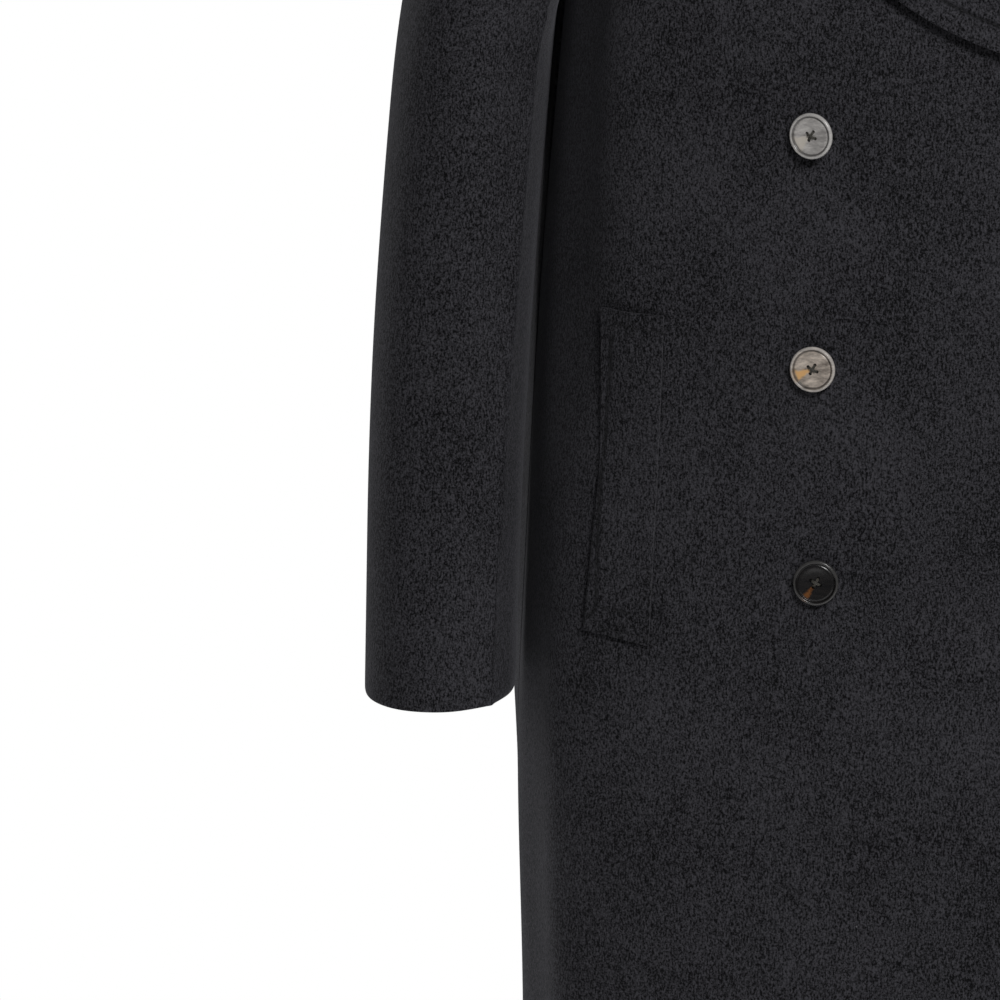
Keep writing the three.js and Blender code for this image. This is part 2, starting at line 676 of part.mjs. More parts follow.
// Cloth turned back over a round edge: a place and the normal of the face that ends outside
function rolled(root, inwards, outwards, radius, turn) {
  const here = root.clone().addScaledVector(inwards, -TURN_GAP - radius * Math.sin(turn));
  here.addScaledVector(outwards, radius * (1 - Math.cos(turn)));
  const normal = outwards.clone().multiplyScalar(-Math.cos(turn));
  return { here, normal: normal.addScaledVector(inwards, -Math.sin(turn)) };
}

// Gives each place without a normal the normal of the grid round it
function addNormals(grid, turn) {
  const lastColumn = grid.length - 1;
  const lastRow = grid[0].length - 1;
  grid.forEach((column, i) =>
    column.forEach((place, j) => {
      if (place.normal) return;
      const along = grid[Math.min(i + 1, lastColumn)][j].here.clone();
      along.sub(grid[Math.max(i - 1, 0)][j].here);
      const over = column[Math.min(j + 1, lastRow)].here.clone();
      over.sub(column[Math.max(j - 1, 0)].here);
      place.normal = along.cross(over).multiplyScalar(turn).normalize();
    }),
  );
  return grid;
}

// Place between two rows of a front, on the straight line that its faces take there
function betweenRows(panel, across, up) {
  const next = bodyRows.findIndex((row) => row >= up);
  const low = bodyRows[next - 1];
  const share = (up - low) / (bodyRows[next] - low);
  return panel(across, low).lerp(panel(across, bodyRows[next]), share);
}

function makeLapel(side) {
  const panel = frontTorso(side);
  const shares = [...steps(4, 0, GORGE.notchShare), ...steps(3, GORGE.notchShare, 1).slice(1)];
  const grid = steps(LAPEL.alongSteps, LAPEL.first, 1).map((along) => {
    const up = mix(LOWER_SHARE, GORGE_SHARE, along);
    const root = betweenRows(panel, 0, up);
    const inwards = betweenRows(panel, STEP, up).sub(root).normalize();
    const outwards = normalOf(panel, 0, up, -side);
    const turned = steps(ROLL.steps, 0, Math.PI).map((turn) =>
      rolled(root, inwards, outwards, ROLL.radius, turn),
    );
    const edge = lapelEdgeAt(along);
    const flat = shares.slice(1).map((share) => {
      const top = gorgeAt(share);
      const shift = ease(0.5, 1, along);
      const extra = (top.across - mix(gorgeRoot.across, lapelPeak.across, share)) * shift;
      const rise = (top.z - mix(gorgeRoot.z, lapelPeak.z, share)) * shift;
      const across = mix(-side * root.x, edge.across, share) + extra;
      const { here, normal } = placeOnFront(side, across, mix(root.z, edge.z, share) + rise);
      const settled = mix(2 * ROLL.radius, LAPEL.height, ease(0, 0.25, share));
      const past = here.x - rollAcross(here.z);
      const free = side > 0 ? 1 : ease(4, 40, past);
      return { here: here.addScaledVector(normal, settled + LAPEL.edgeLift * free * share ** 3) };
    });
    return [...turned, ...flat];
  });
  return clothPiece(`lapel_${sideName(side)}`, wallOn(addNormals(grid, side), side));
}

// Collar

const collarAt = curveThrough(collarRings, "along");

// Samples of the panels round one shoulder, to lay the collar's fall on them
function shoulderSkin(side) {
  const samples = [];
  for (const up of steps(26, 0.7, 1)) {
    for (const across of steps(36)) {
      for (const panel of [frontPanel(side), backPanel(side)]) {
        samples.push({ here: panel.at(across, up), normal: panel.normal(across, up) });
      }
    }
  }
  return samples;
}

// Moves a point out along the nearest sample's normal, to at least or exactly a height
function laidOn(skin, here, height, exactly) {
  let nearest = skin[0];
  for (const sample of skin) {
    if (sample.here.distanceToSquared(here) < nearest.here.distanceToSquared(here)) nearest = sample;
  }
  const gap = here.clone().sub(nearest.here).dot(nearest.normal);
  const lift = height - gap;
  return here.addScaledVector(nearest.normal, exactly ? lift : Math.max(lift, 0));
}

// Neck seam from the middle back to the shoulder, then down the roll line to the gorge
function collarRoot(side, along) {
  if (along <= COLLAR_SHOULDER) return backNeck(side, along / COLLAR_SHOULDER);
  return frontPanel(side).at(0, rollShare(along));
}

// Share up the front of a ring of the collar, which stops a hair above the lapel
function rollShare(along) {
  const share = Math.max(along - COLLAR_SHOULDER, 0) / (1 - COLLAR_SHOULDER);
  return mix(1, GORGE_SHARE + GORGE.hair, share);
}

function neckNormal(side, along) {
  if (along === 0) return backPanel(side).normal(0, 1).setX(0).normalize();
  if (along > COLLAR_SHOULDER) return frontPanel(side).normal(0, rollShare(along));
  if (along === COLLAR_SHOULDER) return shoulderUp(side);
  return backPanel(side).normal((along / COLLAR_SHOULDER) * BACK_NECK_SHARE, 1);
}

function collarFrame(side, along) {
  const root = collarRoot(side, along);
  const before = collarRoot(side, Math.max(along - STEP, 0));
  const onwards = collarRoot(side, Math.min(along + STEP, 1)).sub(before).normalize();
  if (along === 0) onwards.set(-side, 0, 0);
  const outwards = neckNormal(side, along);
  const beyond = outwards.clone().cross(onwards).multiplyScalar(side).normalize();
  return { root, outwards, beyond };
}

function collarRing(side, along, skin) {
  const row = collarAt(along);
  const { root, outwards, beyond } = collarFrame(side, along);
  const upright = beyond.clone().lerp(UP, 0.9 * (1 - ease(COLLAR_SHOULDER, 1, along))).normalize();
  const start = root.clone().addScaledVector(beyond, 2 * TURN_GAP);
  const knee = start.clone().addScaledVector(beyond, row.stand * 0.35);
  const top = knee.clone().addScaledVector(upright, row.stand * 0.65);
  const stand = new THREE.QuadraticBezierCurve3(start, knee, top);
  const aside = outwards.clone().sub(beyond);
  aside.addScaledVector(upright, -aside.dot(upright)).normalize();
  const ring = steps(COLLAR.standSteps).map((t) => ({ here: stand.getPoint(t) }));
  ring[0].normal = outwards.clone().negate();
  for (const turn of steps(COLLAR.foldSteps, 0, Math.PI).slice(1)) {
    const here = top.clone().addScaledVector(aside, row.roll * (1 - Math.cos(turn)));
    ring.push({ here: here.addScaledVector(upright, row.roll * Math.sin(turn)) });
  }
  const from = ring[ring.length - 1].here;
  const edge = laidOn(skin, point(-side * row.edgeX, row.edgeY, row.edgeZ), row.laid, true);
  const bend = from.clone().addScaledVector(upright, -row.stand * 0.6);
  bend.addScaledVector(aside, from.distanceTo(edge) * 0.18);
  const fall = new THREE.QuadraticBezierCurve3(from, bend, edge);
  const atGorge = ease(0.7, 1, along);
  for (const t of steps(COLLAR.fallSteps).slice(1)) {
    const least = row.laid + COLLAR.extra * (1 - t ** 3);
    const here = laidOn(skin, fall.getPoint(t), least, false);
    ring.push({ here: atGorge ? here.lerp(collarEnd(side, t), atGorge) : here });
  }
  return ring;
}

// Front end of the collar's fall: down the gorge to the notch, then up its own front edge
function collarEnd(side, share) {
  const past = share > COLLAR_END.notchShare;
  const notch = { across: GORGE.notchAcross, z: GORGE.notchZ };
  const t = past
    ? (share - COLLAR_END.notchShare) / (1 - COLLAR_END.notchShare)
    : share / COLLAR_END.notchShare;
  const from = past ? notch : gorgeRoot;
  const to = past ? COLLAR_END : notch;
  const z = mix(from.z, to.z, t) + 3 * SEAM_GAP;
  const { here, normal } = placeOnFront(side, mix(from.across, to.across, t), z);
  return here.addScaledVector(normal, COLLAR.height);
}

// Rings stand at the panels' own columns and rows, so that the neck seam runs along them
const backAlong = neckColumns.map((across) => (across / BACK_NECK_SHARE) * COLLAR_SHOULDER);
const frontAlong = rollRows
  .map((up) => mix(COLLAR_SHOULDER, 1, (1 - up) / (1 - GORGE_SHARE)))
  .reverse()
  .slice(1);

function makeCollar() {
  const half = (side) => {
    const skin = shoulderSkin(side);
    return [...backAlong, ...frontAlong].map((along) => collarRing(side, along, skin));
  };
  const grid = [...half(1).reverse(), ...half(-1).slice(1)];
  return clothPiece("collar", wallOn(addNormals(grid, 1), 1));
}

// Closed solids for the cutter of a pocket welt and for the buttons

const solidOf = (geometry) =>
  new wasm.Manifold(
    new wasm.Mesh({
      numProp: 3,
      vertProperties: geometry.getAttribute("position").array,
      triVerts: new Uint32Array(geometry.index.array),
    }),
  );

function geometryOf(solid) {
  const mesh = solid.getMesh();
  return meshGeometry([...mesh.vertProperties], [...mesh.triVerts]);
}

// A stitched pocket band: the front's own faces moved out, cut to the slanted opening's outline
function makeWelt(side, grid) {
  const raise = HALF_CLOTH + SEAM_GAP + WELT_THICKNESS / 2;
  const band = grid.slice(overlapColumns.length).map((column) =>
    column.slice(2, 13).map(({ here, normal }) => ({
      here: here.clone().addScaledVector(normal, raise),
      normal,
    })),
  );
  const corners = pocketCorners.map(({ across, z }) => placeOnFront(side, across, z));
  const positions = [WELT_REACH, -WELT_REACH].flatMap((reach) =>
    corners.flatMap(({ here, normal }) => here.clone().addScaledVector(normal, reach).toArray()),
  );
  const faces = [0, 2, 1, 0, 3, 2, 4, 5, 6, 4, 6, 7];
  for (let i = 0; i < 4; i += 1) {
    const next = (i + 1) % 4;
    faces.push(i, next, next + 4, i, next + 4, i + 4);
  }
  const outline = solidOf(meshGeometry(positions, turnFaces(faces, side)));
  const solid = solidOf(wallOn(band, -side, WELT_THICKNESS)).intersect(outline);
  return clothPiece(`pocket_welt_${sideName(side)}`, geometryOf(solid));
}

// A solid of revolution about +Z from rows of radius and height, closed at both ends
function turned(profile, back, front, sides) {
  const positions = profile.flatMap(({ radius, height }) =>
    steps(sides).slice(1).flatMap((share) => {
      const angle = share * 2 * Math.PI;
      return [radius * Math.cos(angle), radius * Math.sin(angle), height];
    }),
  );
  positions.push(0, 0, back, 0, 0, front);
  const poles = profile.length * sides;
  const last = (profile.length - 1) * sides;
  const faces = [];
  for (let j = 0; j < sides; j += 1) {
    const next = (j + 1) % sides;
    faces.push(poles, next, j, last + j, last + next, poles + 1);
    for (let i = 0; i < last; i += sides) {
      faces.push(i + j, i + next, i + sides + next, i + j, i + sides + next, i + sides + j);
    }
  }
  return meshGeometry(positions, faces);
}

// A button on a wound thread shank of a given length
function buttonGeometry(shank) {
  const stem = [{ radius: SHANK_RADIUS, height: -shank }, { radius: SHANK_RADIUS, height: 0 }];
  let solid = solidOf(turned([...stem, ...buttonProfile], -shank, BUTTON_FRONT, BUTTON_SEGMENTS));
  const { count, radius, circle, turn, sides, depth } = BUTTON_HOLES;
  const ends = [{ radius, height: -depth }, { radius, height: depth }];
  for (let i = 0; i < count; i += 1) {
    const angle = (turn + (i * 360) / count) * DEGREE;
    const hole = turned(ends, -depth, depth, sides);
    hole.translate(circle * Math.cos(angle), circle * Math.sin(angle), 0);
    solid = solid.subtract(solidOf(hole));
  }
  return geometryOf(solid);
}

// Both columns of buttons sit on the right front, which lies on top
function makeButton(column, row, index) {
  const { here, normal } = placeOnFront(1, column * row.across, row.z);
  const facing = normal.clone().applyAxisAngle(UP, -column * row.lean * DEGREE);
  const sideways = UP.clone().cross(facing).normalize();
  const upwards = facing.clone().cross(sideways);
  const rim = Math.max(...buttonProfile.map(({ radius }) => radius));
  const rise = SHANK_LEAST + rim * Math.sin(row.lean * DEGREE);
  const seat = here.addScaledVector(normal, HALF_CLOTH + SEAM_GAP + rise);
  const placing = new THREE.Matrix4().makeBasis(sideways, upwards, facing).setPosition(seat);
  const shank = rise / Math.cos(row.lean * DEGREE) - SHANK_RADIUS * Math.tan(row.lean * DEGREE);
  const geometry = buttonGeometry(shank).applyMatrix4(placing);
  return piece(`button_${sideName(column)}_${index + 1}`, geometry, BUTTON_COLOUR, 0.35);
}

const coat = new THREE.Group();
for (const side of [1, -1]) {
  const grid = frontGrid(side);
  coat.add(clothPiece(`front_${sideName(side)}`, wallOn(grid, -side)), makeBack(side));
  coat.add(makeSleeve(side, "sleeve_top", sleeveTopTurns));
  coat.add(makeSleeve(side, "sleeve_under", sleeveUnderTurns));
  coat.add(makeLapel(side), makeWelt(side, grid));
  buttonRows.forEach((row, index) => coat.add(makeButton(side, row, index)));
}
coat.add(makeCollar());

export default coat;
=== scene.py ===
# %% [markdown]
# # A double-breasted wool coat
# This lesson dresses the rigid solids of a long coat: a right front that closes over the left,
# two backs, two-piece sleeves, a turned-down collar, wide lapels, slanted pocket welts and six
# horn buttons. The solids already hold the cut and the big folds. What is left for Blender is
# what the hand would feel: rounded cloth edges, small dents, sewn rows, napped wool and horn.

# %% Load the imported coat
import math

import bmesh
import bpy
import numpy as np
from mathutils import Matrix, Vector
from mathutils.bvhtree import BVHTree


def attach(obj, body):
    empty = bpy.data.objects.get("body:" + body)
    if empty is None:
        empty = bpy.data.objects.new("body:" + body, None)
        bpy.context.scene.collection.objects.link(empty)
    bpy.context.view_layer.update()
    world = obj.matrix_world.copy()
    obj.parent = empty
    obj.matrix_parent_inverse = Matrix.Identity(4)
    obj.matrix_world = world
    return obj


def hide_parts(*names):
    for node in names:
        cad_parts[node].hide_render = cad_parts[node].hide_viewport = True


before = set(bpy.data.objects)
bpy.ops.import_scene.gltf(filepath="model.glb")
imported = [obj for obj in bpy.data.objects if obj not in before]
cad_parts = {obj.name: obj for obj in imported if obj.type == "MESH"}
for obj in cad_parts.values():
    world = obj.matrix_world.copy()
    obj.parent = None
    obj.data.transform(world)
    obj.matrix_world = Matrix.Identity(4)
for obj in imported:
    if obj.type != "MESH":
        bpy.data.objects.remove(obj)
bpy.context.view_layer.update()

MM = 0.001
SIDES = {"right": -1, "left": 1}

# %% [markdown]
# ## The camera
# The photographer stood in front of the middle of the coat, a little above the chest, and used a
# long lens, so upright lines stay upright. The frame is a close-up: it holds the right sleeve and
# the right front only. A long lens on a small sensor gives the same flat drawing here.

# %% Set the camera
CLOSE_UP_WIDTH = 0.580
CAMERA_DISTANCE = 3.2
CAMERA_RISE = math.radians(9.0)
AIM = Vector((-0.262, -0.128, -0.574))
camera_data = bpy.data.cameras.new("close_up")
camera = bpy.data.objects.new("close_up", camera_data)
bpy.context.scene.collection.objects.link(camera)
camera.location = (
    0.0,
    AIM.y - CAMERA_DISTANCE * math.cos(CAMERA_RISE),
    AIM.z + CAMERA_DISTANCE * math.sin(CAMERA_RISE),
)
looking = AIM - camera.location
camera.rotation_euler = looking.to_track_quat("-Z", "Y").to_euler()
camera_data.sensor_width = 36.0
camera_data.lens = camera_data.sensor_width * looking.length / CLOSE_UP_WIDTH
camera_data.clip_end = 200.0
bpy.context.scene.camera = camera
print("camera at", tuple(camera.location), "lens", round(camera_data.lens, 1))

# %% [markdown]
# ## The light and the floor
# Black wool shows its form only through soft light. A pale room fills every side a little, a lamp
# in front and to the right lights the chest and leaves the hollow beside the sleeve darker, and
# one from behind draws the outline.
# The floor is plain and pale, a wearer's height below the shoulders.

# %% Make the studio
FLOOR_Z = -1.36
FLOOR_RADIUS = 1.7
ROOM_LIGHT = 0.035
ROOM_SEEN = 1.0
world = bpy.data.worlds.new("pale_room")
bpy.context.scene.world = world
world.use_nodes = True
room = world.node_tree
background = room.nodes["Background"]
background.inputs["Color"].default_value = (1.0, 1.0, 1.0, 1.0)
background.inputs["Strength"].default_value = ROOM_LIGHT
seen = room.nodes.new("ShaderNodeBackground")
seen.inputs["Color"].default_value = (1.0, 1.0, 1.0, 1.0)
seen.inputs["Strength"].default_value = ROOM_SEEN
ray_kind = room.nodes.new("ShaderNodeLightPath")
either = room.nodes.new("ShaderNodeMixShader")
room.links.new(ray_kind.outputs["Is Camera Ray"], either.inputs[0])
room.links.new(background.outputs[0], either.inputs[1])
room.links.new(seen.outputs[0], either.inputs[2])
room.links.new(either.outputs[0], room.nodes["World Output"].inputs["Surface"])


def soft_lamp(name, place, target, size, watts):
    """A square lamp of the given size, turned to its target."""
    lamp_data = bpy.data.lights.new(name, "AREA")
    lamp_data.size = size
    lamp_data.energy = watts
    lamp = bpy.data.objects.new(name, lamp_data)
    bpy.context.scene.collection.objects.link(lamp)
    lamp.location = place
    aim = Vector(target) - Vector(place)
    lamp.rotation_euler = aim.to_track_quat("-Z", "Y").to_euler()
    return lamp


CHEST = (-0.1, -0.1, -0.5)
FRONT_LAMP_PLACE = (0.85, -2.1, 1.05)
BACK_LAMP_PLACE = (-2.4, 1.5, 0.3)
soft_lamp("front_lamp", FRONT_LAMP_PLACE, CHEST, size=0.7, watts=32)
soft_lamp("back_lamp", BACK_LAMP_PLACE, CHEST, size=1.6, watts=24)
bpy.ops.object.select_all(action="DESELECT")
bpy.ops.mesh.primitive_circle_add(vertices=96, radius=FLOOR_RADIUS, fill_type="NGON")
floor = bpy.context.object
floor.name = "pale_floor"
floor.data.transform(Matrix.Translation((0.0, 0.0, FLOOR_Z)))
floor_paint = bpy.data.materials.new("pale_floor_paint")
floor_paint.use_nodes = True
paint = floor_paint.node_tree.nodes["Principled BSDF"]
paint.inputs["Base Color"].default_value = (0.93, 0.93, 0.93, 1.0)
paint.inputs["Roughness"].default_value = 0.8
paint.inputs["Emission Color"].default_value = (1.0, 1.0, 1.0, 1.0)
paint.inputs["Emission Strength"].default_value = 0.3
floor.data.materials.append(floor_paint)
bpy.context.scene.view_settings.view_transform = "Standard"
print("floor", round(-FLOOR_Z, 2), "m below the shoulders")

# %% [markdown]
# ## Melton wool
# The cloth is black melton: woven, felted and brushed until short fibres lie over the weave. From
# close by it is a fine salt-and-pepper of dark grey on black, with a faint diagonal where the weave
# shows through, and the nap catches light where the cloth turns away. So the colour comes from two
# fine noises, one round and one drawn out along the diagonal, the same noises lift the surface by a
# few hundredths of a millimetre, and a weak sheen stands for the nap.

# %% Make the wool
def link(tree, source, target):
    tree.links.new(source, target)


def noise(tree, place, scale, detail, roughness):
    """A noise texture read at the given place."""
    node = tree.nodes.new("ShaderNodeTexNoise")
    node.inputs["Scale"].default_value = scale
    node.inputs["Detail"].default_value = detail
    node.inputs["Roughness"].default_value = roughness
    link(tree, place, node.inputs["Vector"])
    return node.outputs["Fac"]


def turned(tree, place, turn, stretch):
    """The place turned about the line of sight and stretched."""
    node = tree.nodes.new("ShaderNodeMapping")
    node.inputs["Rotation"].default_value = turn
    node.inputs["Scale"].default_value = stretch
    link(tree, place, node.inputs["Vector"])
    return node.outputs["Vector"]


def span(tree, value, low, high, new_low, new_high):
    """The value moved from one range to another and held inside it."""
    node = tree.nodes.new("ShaderNodeMapRange")
    node.clamp = True
    for name, number in (
        ("From Min", low),
        ("From Max", high),
        ("To Min", new_low),
        ("To Max", new_high),
    ):
        node.inputs[name].default_value = number
    link(tree, value, node.inputs["Value"])
    return node.outputs["Result"]


def sums(tree, kind, first, second):
    """Two values worked together; either may be a number."""
    node = tree.nodes.new("ShaderNodeMath")
    node.operation = kind
    for slot_number, value in enumerate((first, second)):
        if isinstance(value, (int, float)):
            node.inputs[slot_number].default_value = value
        else:
            link(tree, value, node.inputs[slot_number])
    return node.outputs[0]


def blended(tree, share, first, second):
    """A colour between two; each is a colour or a socket."""
    node = tree.nodes.new("ShaderNodeMix")
    node.data_type = "RGBA"
    link(tree, share, node.inputs["Factor"])
    for name, colour in (("A", first), ("B", second)):
        socket = next(s for s in node.inputs if s.name == name and s.type == "RGBA")
        if isinstance(colour, tuple):
            socket.default_value = (*colour, 1.0)
        else:
            link(tree, colour, socket)
    return next(s for s in node.outputs if s.type == "RGBA")


WOOL_DARK = (0.0018, 0.0018, 0.0026)
WOOL_LIGHT = (0.072, 0.0705, 0.081)
DITCH_PAINTED_SHADE = (0.004, 0.004, 0.005)
LINT = (0.16, 0.16, 0.17)
NAP_SCALE = 880.0
RIB_SCALE = 1000.0
BRUSHING_SCALE = 16.0
FLUFF_SCALE = 62.0
FLUFF_RADIUS = 0.028
FLUFF_RARITY = 0.86
DITCH_MIDDLE = 0.0004
DITCH_SIDE = 0.0019


def wool(name, turn, sewn=False):
    """Black melton; turn is the lie of its weave in degrees; sewn reads the pressed rows, sinks them
    by bump and darkens them with painted shade.
    """
    material = bpy.data.materials.new(name)
    material.use_nodes = True
    tree = material.node_tree
    cloth = tree.nodes["Principled BSDF"]
    place = tree.nodes.new("ShaderNodeTexCoord").outputs["Object"]
    weave = turned(tree, place, (0.0, math.radians(turn), 0.0), (1.0, 1.0, 0.38))
    nap = noise(tree, place, NAP_SCALE, 2.0, 0.7)
    ribs = noise(tree, weave, RIB_SCALE, 1.0, 0.5)
    brushing = noise(tree, place, BRUSHING_SCALE, 3.0, 0.55)
    grain = sums(tree, "ADD", sums(tree, "MULTIPLY", nap, 0.6), sums(tree, "MULTIPLY", ribs, 0.4))
    grain = sums(tree, "ADD", grain, span(tree, brushing, 0.3, 0.7, -0.025, 0.025))
    tone = blended(tree, span(tree, grain, 0.41, 0.61, 0.0, 1.0), WOOL_DARK, WOOL_LIGHT)
    fluff_place = turned(tree, place, (0.3, math.radians(turn + 25), 0.2), (1.0, 1.0, 0.45))
    fluff = tree.nodes.new("ShaderNodeTexVoronoi")
    fluff.inputs["Scale"].default_value = FLUFF_SCALE
    link(tree, fluff_place, fluff.inputs["Vector"])
    rarely = tree.nodes.new("ShaderNodeSeparateColor")
    link(tree, fluff.outputs["Color"], rarely.inputs["Color"])
    speck = sums(tree, "LESS_THAN", fluff.outputs["Distance"], FLUFF_RADIUS)
    chosen = sums(tree, "GREATER_THAN", rarely.outputs["Red"], FLUFF_RARITY)
    tone = blended(tree, sums(tree, "MULTIPLY", speck, chosen), tone, LINT)
    height = sums(tree, "ADD", sums(tree, "MULTIPLY", nap, 0.7), sums(tree, "MULTIPLY", ribs, 0.5))
    if sewn:
        row = tree.nodes.new("ShaderNodeAttribute")
        row.attribute_name = "sewn_row"
        reach = sums(tree, "ABSOLUTE", row.outputs["Fac"], 0.0)
        ditch_and_shade = span(tree, reach, DITCH_MIDDLE, DITCH_SIDE, 1.0, 0.0)
        # Painted shade: the colour is darkened along the sewn row, and the bump below sinks the same
        # ditch.
        tone = blended(tree, sums(tree, "MULTIPLY", ditch_and_shade, 0.62), tone, DITCH_PAINTED_SHADE)
        height = sums(tree, "SUBTRACT", height, sums(tree, "MULTIPLY", ditch_and_shade, 1.6))
    link(tree, tone, cloth.inputs["Base Color"])
    lift = tree.nodes.new("ShaderNodeBump")
    lift.inputs["Strength"].default_value = 0.8
    lift.inputs["Distance"].default_value = 0.0007
    link(tree, height, lift.inputs["Height"])
    link(tree, lift.outputs["Normal"], cloth.inputs["Normal"])
    cloth.inputs["Roughness"].default_value = 0.92
    cloth.inputs["Specular IOR Level"].default_value = 0.22
    cloth.inputs["Sheen Weight"].default_value = 0.2
    cloth.inputs["Sheen Roughness"].default_value = 0.42
    cloth.inputs["Sheen Tint"].default_value = (0.62, 0.62, 0.68, 1.0)
    return material


BODY_WOOL = wool("body_wool", 42)
SLEEVE_WOOL = wool("sleeve_wool", 48)
TURNED_WOOL = wool("turned_wool", 74, sewn=True)
WELT_WOOL = wool("welt_wool", 40, sewn=True)
print("wool finishes:", [m.name for m in (BODY_WOOL, SLEEVE_WOOL, TURNED_WOOL, WELT_WOOL)])

# %% [markdown]
# ## Copy the cloth and round it
# Each panel of the coat is a thin wall of facets. A copy of its mesh is merged, its triangles are
# paired into four-sided faces, its cut edges are held by a half-sharp crease, and a Subdivision
# Surface then turns the facets into smooth cloth with a softly rounded edge. The levels are higher
# on the pieces that the close-up shows.

# %% Copy a panel as smooth cloth
CUT_EDGE_ANGLE = math.radians(62)
SEAM_REACH = 0.0022


def points_of(piece):
    spots = np.empty(len(piece.data.vertices) * 3, np.float32)
    piece.data.vertices.foreach_get("co", spots)
    return spots.reshape(-1, 3).astype(float)


def tree_of(piece):
    shape = bmesh.new()
    shape.from_mesh(piece.data)
    tree = BVHTree.FromBMesh(shape)
    shape.free()
    return tree


solid_trees = {}
for name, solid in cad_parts.items():
    if "button" not in name:
        solid_trees[name] = tree_of(solid)


def in_seam(node, edge):
    """True where another solid lies a hair away, so this edge is sewn to it and stays sharp."""
    for name, tree in solid_trees.items():
        if name != node and all(tree.find_nearest(end.co, SEAM_REACH)[0] for end in edge.verts):
            return True
    return False


def only(piece):
    """Selects one piece and nothing else."""
    bpy.ops.object.select_all(action="DESELECT")
    piece.select_set(True)
    bpy.context.view_layer.objects.active = piece


def smooth_copy(node, levels):
    """The node's wall as its own smooth mesh."""
    piece = bpy.data.objects.new(node + "_cloth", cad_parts[node].data.copy())
    bpy.context.scene.collection.objects.link(piece)
    piece.data.materials.clear()
    only(piece)
    bpy.ops.object.mode_set(mode="EDIT")
    bpy.ops.mesh.select_all(action="SELECT")
    bpy.ops.mesh.remove_doubles(threshold=0.00001)
    bpy.ops.mesh.tris_convert_to_quads(
        face_threshold=math.radians(50), shape_threshold=math.radians(80)
    )
    bpy.ops.mesh.select_all(action="DESELECT")
    bpy.ops.object.mode_set(mode="OBJECT")
    shape = bmesh.new()
    shape.from_mesh(piece.data)
    held = shape.edges.layers.float.get("crease_edge")
    if held is None:
        held = shape.edges.layers.float.new("crease_edge")
    corner = shape.verts.layers.float.get("crease_vert")
    if corner is None:
        corner = shape.verts.layers.float.new("crease_vert")
    sharpness = math.sqrt(0.1 * (levels - 0.6))
    cut = 0
    for edge in shape.edges:
        if len(edge.link_faces) == 2 and edge.calc_face_angle() > CUT_EDGE_ANGLE:
            edge[held] = 1.0 if in_seam(node, edge) else sharpness
            cut += 1
    for vertex in shape.verts:
        if sum(edge[held] > 0 for edge in vertex.link_edges) > 2:
            vertex[corner] = 1.0
    shape.to_mesh(piece.data)
    shape.free()
    rounding = piece.modifiers.new("rounding", "SUBSURF")
    rounding.levels = levels
    rounding.render_levels = levels
    bpy.ops.object.modifier_apply(modifier="rounding")
    bpy.ops.object.shade_smooth_by_angle(angle=math.radians(50))
    print(piece.name, "cut edges", cut, "faces", len(piece.data.polygons))
    return piece


LEVELS = {
    "front_right": 3,
    "front_left": 2,
    "back_right": 2,
    "back_left": 2,
    "sleeve_top_right": 3,
    "sleeve_top_left": 2,
    "sleeve_under_right": 2,
    "sleeve_under_left": 2,
    "lapel_right": 3,
    "lapel_left": 2,
    "pocket_welt_right": 3,
    "pocket_welt_left": 3,
    "collar": 2,
}
cloth = {node: smooth_copy(node, levels) for node, levels in LEVELS.items()}

# %% [markdown]
# ## Dents and drag lines
# The solids hold the long folds. A worn coat also has shallow marks: the edge of the facing
# pressed through the front, pulls that start at the buttons and at the pocket ends, and bends of
# the elbow. Each mark is a short path with a width and a depth of its own. Every point of the
# cloth near the path moves the same way on both faces, so the wall keeps its thickness, and the
# pieces that lie on each other move together. The marks are uneven on purpose.

# %% Find places on the cloth
def set_points(piece, spots):
    piece.data.vertices.foreach_set("co", spots.astype(np.float32).ravel())
    piece.data.update()


trees = {node: tree_of(piece) for node, piece in cloth.items()}


def laid(node, x, z, back=False):
    """The point of the piece that is met first from the front, or from the back, in metres."""
    start = Vector((x, 1.0 if back else -1.0, z))
    spot, normal, _, _ = trees[node].ray_cast(start, Vector((0.0, -1.0 if back else 1.0, 0.0)))
    return spot, normal


BODY_HALF_WIDTH = 0.25
BODY_HALF_DEPTH = 0.13
ARM_HEIGHTS = [-0.70, -0.33, -0.05]
ARM_ACROSS = [0.304, 0.2875, 0.235]
ARM_DEEP = [-0.056, -0.016, 0.006]


def outwards(spots, node):
    """Away from the middle of the body, or from the arm in a sleeve, at each point."""
    if node.startswith("sleeve"):
        side = SIDES[node.split("_")[-1]]
        middle_x = np.interp(spots[:, 2], ARM_HEIGHTS, ARM_ACROSS) * side
        middle_y = np.interp(spots[:, 2], ARM_HEIGHTS, ARM_DEEP)
        way = np.stack([spots[:, 0] - middle_x, spots[:, 1] - middle_y, 0 * middle_x], 1)
    elif node.startswith("lapel"):
        way = np.tile([0.0, -1.0, 0.0], (len(spots), 1))
    else:
        away_x = spots[:, 0] / BODY_HALF_WIDTH**2
        away_y = spots[:, 1] / BODY_HALF_DEPTH**2
        way = np.stack([away_x, away_y, 0 * away_x], 1)
    return way / np.maximum(np.linalg.norm(way, axis=1), 1e-9)[:, None]


